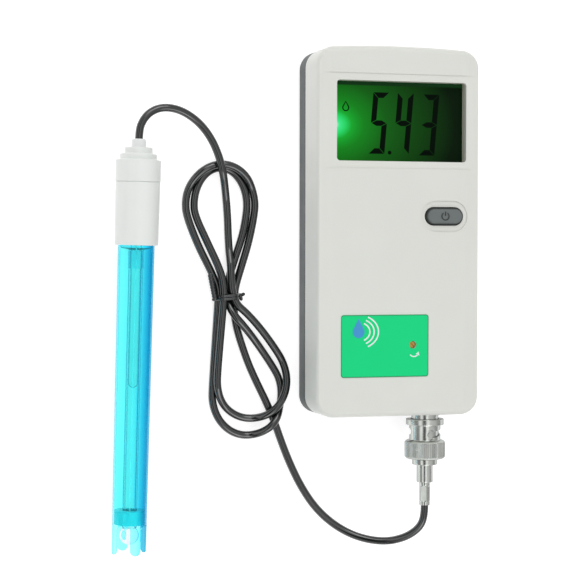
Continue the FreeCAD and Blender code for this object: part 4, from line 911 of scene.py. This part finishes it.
def slot_band(inner, outer, stations):
    """Cutter between two radii, with an (angle, level, half height) at each station."""
    vertices, faces = [], []
    corners = (inner, -1), (outer, -1), (outer, 1), (inner, 1)
    for angle, level, half in stations:
        vertices += [on_barrel(reach, angle, level + side * half) for reach, side in corners]
    last = 4 * (len(stations) - 1)
    for near in range(0, last, 4):
        faces += [(near + corner, near + (corner + 1) % 4, near + 4 + (corner + 1) % 4,
                   near + 4 + corner) for corner in range(4)]
    faces += [(0, 1, 2, 3), tuple(range(last, last + 4))]
    return vertices, faces


def round_end(start):
    """Cutter of the hole that a lug rests in, a short way round the barrel."""
    vertices, faces, sides = [], [], 40
    for reach in (SLOT_INNER, SLOT_OUTER):
        for step in range(sides):
            bend = 2 * math.pi * step / sides
            vertices.append(on_barrel(reach, start + SLOT_END / BARREL_RADIUS * math.cos(bend),
                                      LUG_LEVEL + SLOT_END * math.sin(bend)))
    vertices += [on_barrel(reach, start, LUG_LEVEL) for reach in (SLOT_INNER, SLOT_OUTER)]
    for step in range(sides):
        after = (step + 1) % sides
        faces += [(step, after, sides + after, sides + step), (step, 2 * sides, after),
                  (sides + step, sides + after, 2 * sides + 1)]
    return vertices, faces


def slot_cutters(turn):
    """Cutters of one bayonet slot: its two round ends, its ramp and its entry groove."""
    start = math.radians(SLOT_START + turn)
    cap = SLOT_HALF / BARREL_RADIUS
    steps, cap_steps = 30, 8
    ramp = [(start + UNLOCK_TURN * step / steps, LUG_LEVEL + UNLOCK_PULL * step / steps,
             SLOT_HALF) for step in range(steps + 1)]
    for step in range(1, cap_steps + 1):
        bend = math.radians(88) * step / cap_steps  # at 90 the end would have no height
        ramp.append((start + UNLOCK_TURN + cap * math.sin(bend), LUG_LEVEL + UNLOCK_PULL,
                     SLOT_HALF * math.cos(bend)))
    low, high = LUG_LEVEL + UNLOCK_PULL, MOUTH + 1
    groove = [(start + UNLOCK_TURN + cap * share, (low + high) / 2, (high - low) / 2)
              for share in (-1, -0.5, 0, 0.5, 1)]
    return [round_end(start), slot_band(SLOT_INNER, SLOT_OUTER, ramp),
            slot_band(SLOT_INNER, GROOVE_REACH, groove)]


def cut_mesh(mesh, cutters):
    """The mesh with each cutter solid taken away."""
    body = bpy.data.objects.new("cut_body", mesh)
    bpy.context.collection.objects.link(body)
    tools = []
    for index, cutter in enumerate(cutters):
        tool = bpy.data.objects.new("cutter", new_mesh(f"cutter_{index}", *cutter))
        bpy.context.collection.objects.link(tool)
        difference = body.modifiers.new("slot", "BOOLEAN")
        difference.operation = "DIFFERENCE"
        difference.solver = "EXACT"
        difference.object = tool
        tools.append(tool)
    depsgraph = bpy.context.evaluated_depsgraph_get()
    result = bpy.data.meshes.new_from_object(body.evaluated_get(depsgraph))
    for item in tools + [body]:
        bpy.data.objects.remove(item)
    result.materials.clear()
    return result


def make_plug():
    """Knurled bayonet nut, turned plug body and crimped sleeve."""
    nut = softened([(5.1, MOUTH), (6.9, MOUTH), (6.9, -70.15), (BARREL_RADIUS, -70.15),
                    (BARREL_RADIUS, -75.7), (6.55, -75.7), (GRIP_RADIUS, GRIP_TOP),
                    (GRIP_RADIUS, GRIP_FOOT), (6.6, -82.5), (4.05, -82.5), (4.05, -81.5),
                    (6.1, -81.5), (6.1, -77.5), (5.1, -77.5)], 0.28)
    mesh = new_mesh("bayonet_nut", *turned(nut, steps=8 * RIDGES, shape=knurled))
    mesh = cut_mesh(mesh, slot_cutters(0) + slot_cutters(180))
    place_piece("bayonet_nut", mesh, "nickel", "bayonet_nut", ["bnc_plug_nut"],
                SOCKET, crease=32)
    shaft = softened([(3.0, -70.0), (3.85, -70.0), (3.85, -79.0), (5.85, -79.0), (5.85, -80.0),
                      (3.85, -80.0), (3.85, -82.6), (4.6, -82.6), (4.6, -84.7), (2.95, -84.7),
                      (2.95, -91.2), (0.7, -91.2), (0.7, -88.0), (2.0, -88.0), (2.0, -80.0),
                      (3.0, -80.0)], 0.3)
    place_piece("plug_body", new_mesh("plug_body", *turned(shaft)), "nickel", "probe_lead",
                ["bnc_plug_body"], SOCKET)
    sleeve = softened([(0, -91.1), (1.95, -91.1), (1.95, -92.2), (1.86, -92.8), (1.86, -98.0),
                       (1.95, -98.5), (1.95, -99.6), (0, -99.6)], 0.2, closed=False)

    def crimped(radius, level, angle):
        """Six flats between the sleeve's two round ends."""
        top, foot, fade, flatness = -92.3, -98.4, 0.6, 0.93
        press = max(0, min(1, (top - level) / fade, (level - foot) / fade))
        flat = radius * flatness / math.cos((angle % (math.pi / 3)) - math.pi / 6)
        return radius + press * (min(flat, radius * 1.04) - radius)

    mesh = new_mesh("crimp_sleeve", *turned(sleeve, closed=False, shape=crimped))
    place_piece("crimp_sleeve", mesh, "nickel", "probe_lead", ["bnc_crimp_sleeve"],
                SOCKET, crease=20)


# ---------------------------------------------------------------- probe

PROBE = (Matrix.Translation((-0.09097, 0.025, 0.00814))
         @ Matrix.Rotation(math.radians(-1.33), 4, "Z")
         @ Matrix.Rotation(math.radians(0.84), 4, "X"))
TUBE_TOP, TUBE_FOOT_RADIUS, TUBE_WALL = -20.0, 6.1, 0.6
PRONG_FOOT, PRONG_TIP, PRONG_HALF, PRONG_TURN = -128.7, -139.1, 1.9, math.radians(13)
PRONG_RADIUS = 5.6  # where the prongs' width is measured
GAP_DEPTH = 0.55  # of the rounded gap between prongs, to half its width


def make_probe_part(name, profile, round_to, material, node, closed=True):
    shape = turned(softened(profile, round_to, closed), closed)
    place_piece(name, new_mesh(name, *shape), material, "probe_lead", [node], PROBE)


def tube_end(angle):
    """Level at which the tube ends: round-tipped prongs with gaps between them."""
    offset = (angle - PRONG_TURN + math.pi / 4) % (math.pi / 2) - math.pi / 4
    across = abs(offset) * PRONG_RADIUS
    if across <= PRONG_HALF:
        curve = math.sqrt(max(0, 1 - (across / PRONG_HALF) ** 2))
        return PRONG_TIP + PRONG_HALF * (1 - curve)
    gap = math.pi / 4 * PRONG_RADIUS - PRONG_HALF
    share = min(1, (math.pi / 4 * PRONG_RADIUS - across) / gap)
    return PRONG_FOOT - gap * GAP_DEPTH * (1 - math.sqrt(max(0, 1 - share ** 2)))


def make_tube():
    """Clear blue tube: thin wall, slight taper and four guard prongs round the bulb."""
    run = PRONG_FOOT - TUBE_TOP
    edge, seam = PRONG_HALF / PRONG_RADIUS, 0.004
    angles = []
    for quarter in range(4):
        middle = quarter * math.pi / 2 + PRONG_TURN
        angles += [middle + edge * math.sin(math.radians(turn)) for turn in range(-90, 91, 10)]
        angles += [middle + edge + seam + (math.pi / 2 - 2 * edge - 2 * seam) * step / 10
                   for step in range(11)]
    angles.sort()
    levels = [0, 0.02, 0.05] + [0.05 + 0.95 * step / 20 for step in range(1, 21)]
    below = [step / 8 for step in range(1, 9)]
    outer, inner = [], []
    for angle in angles:
        end = tube_end(angle)
        ys = [TUBE_TOP + run * share for share in levels]
        ys += [PRONG_FOOT + (end - PRONG_FOOT) * share for share in below]
        for level in ys:
            narrowing = (TUBE_RADIUS - TUBE_FOOT_RADIUS) * (level - TUBE_TOP) / run
            radius = TUBE_RADIUS - narrowing
            outer.append((radius * math.sin(angle), level, radius * math.cos(angle)))
            inside = radius - TUBE_WALL
            inner.append((inside * math.sin(angle), level, inside * math.cos(angle)))
    rows, columns = len(levels) + len(below), len(angles)
    vertices = outer + inner
    shift = len(outer)
    faces = []
    for column in range(columns):
        here, there = column * rows, (column + 1) % columns * rows
        for row in range(rows - 1):
            faces.append((here + row, here + row + 1, there + row + 1, there + row))
            faces.append((shift + here + row, shift + there + row,
                          shift + there + row + 1, shift + here + row + 1))
        faces.append((here, there, shift + there, shift + here))
        last = rows - 1
        faces.append((here + last, shift + here + last, shift + there + last, there + last))
    place_piece("probe_sleeve", new_mesh("probe_sleeve", vertices, faces), "tube",
                "probe_lead", ["probe_tube"], PROBE, crease=50)


def make_probe():
    """Gland, stepped cap, collar and what shows through the clear tube."""
    make_probe_part("gland", [(0, 4.3), (2.65, 4.3), (2.6, 5.0), (2.5, 6.9), (2.2, 7.35),
                              (1.55, 7.35), (1.5, 7.0), (0, 7.0)], 0.3, "gland",
                    "probe_gland", closed=False)
    make_probe_part("cap_top", [(0, 4.4), (4.9, 4.4), (4.9, 2.1), (6.5, 2.1), (6.5, 0),
                                (8.0, 0), (7.98, -7.7), (7.55, -7.7), (7.5, -8.1), (0, -8.1)],
                    0.4, "cap", "probe_cap", closed=False)
    make_probe_part("cap_skirt", [(7.4, -7.85), (7.87, -7.85), (7.72, -30.0), (6.6, -30.0),
                                  (6.6, -7.85)], 0.35, "cap", "probe_collar")
    make_probe_part("junction_ring", [(5.5, -123.6), (5.45, -128.6), (2.6, -128.6),
                                      (2.6, -123.6)], 0.3, "ring", "probe_junction")
    make_probe_part("seal_disc", [(0, -28.5), (5.5, -28.5), (5.5, -31.0), (2.7, -31.6),
                                  (2.7, -38.2), (0, -38.2)], 0.3, "seal", "probe_stopper",
                    closed=False)
    make_probe_part("inner_tube", [(2.55, -32.0), (2.55, -129.9), (1.95, -129.9),
                                   (1.95, -32.0)], 0.2, "glass", "glass_stem")
    radius, foot = 1.7, -78.6
    wick = [(0, -24.0), (radius, -24.0)]
    wick += [(radius * math.cos(math.radians(turn)), foot - radius * math.sin(math.radians(turn)))
             for turn in range(0, 91, 15)]
    place_piece("wick", new_mesh("wick", *turned(wick, closed=False)), "glass", "probe_lead",
                ["wick_tube"], PROBE)
    radius, middle = 3.4, -132.6
    bulb = [(radius * math.sin(math.radians(turn)),
             middle - radius * math.cos(math.radians(turn))) for turn in range(0, 138, 6)]
    bulb += [(0, -130.15)]
    place_piece("bulb", new_mesh("bulb", *turned(bulb, closed=False)), "bulb", "probe_lead",
                ["glass_bulb"], PROBE)


make_camera()
make_stage()
dress_frame()
make_display()
make_key()
make_plate_border()
make_plate_marks()
make_tie()
make_plug()
make_probe()
make_tube()
make_cord()
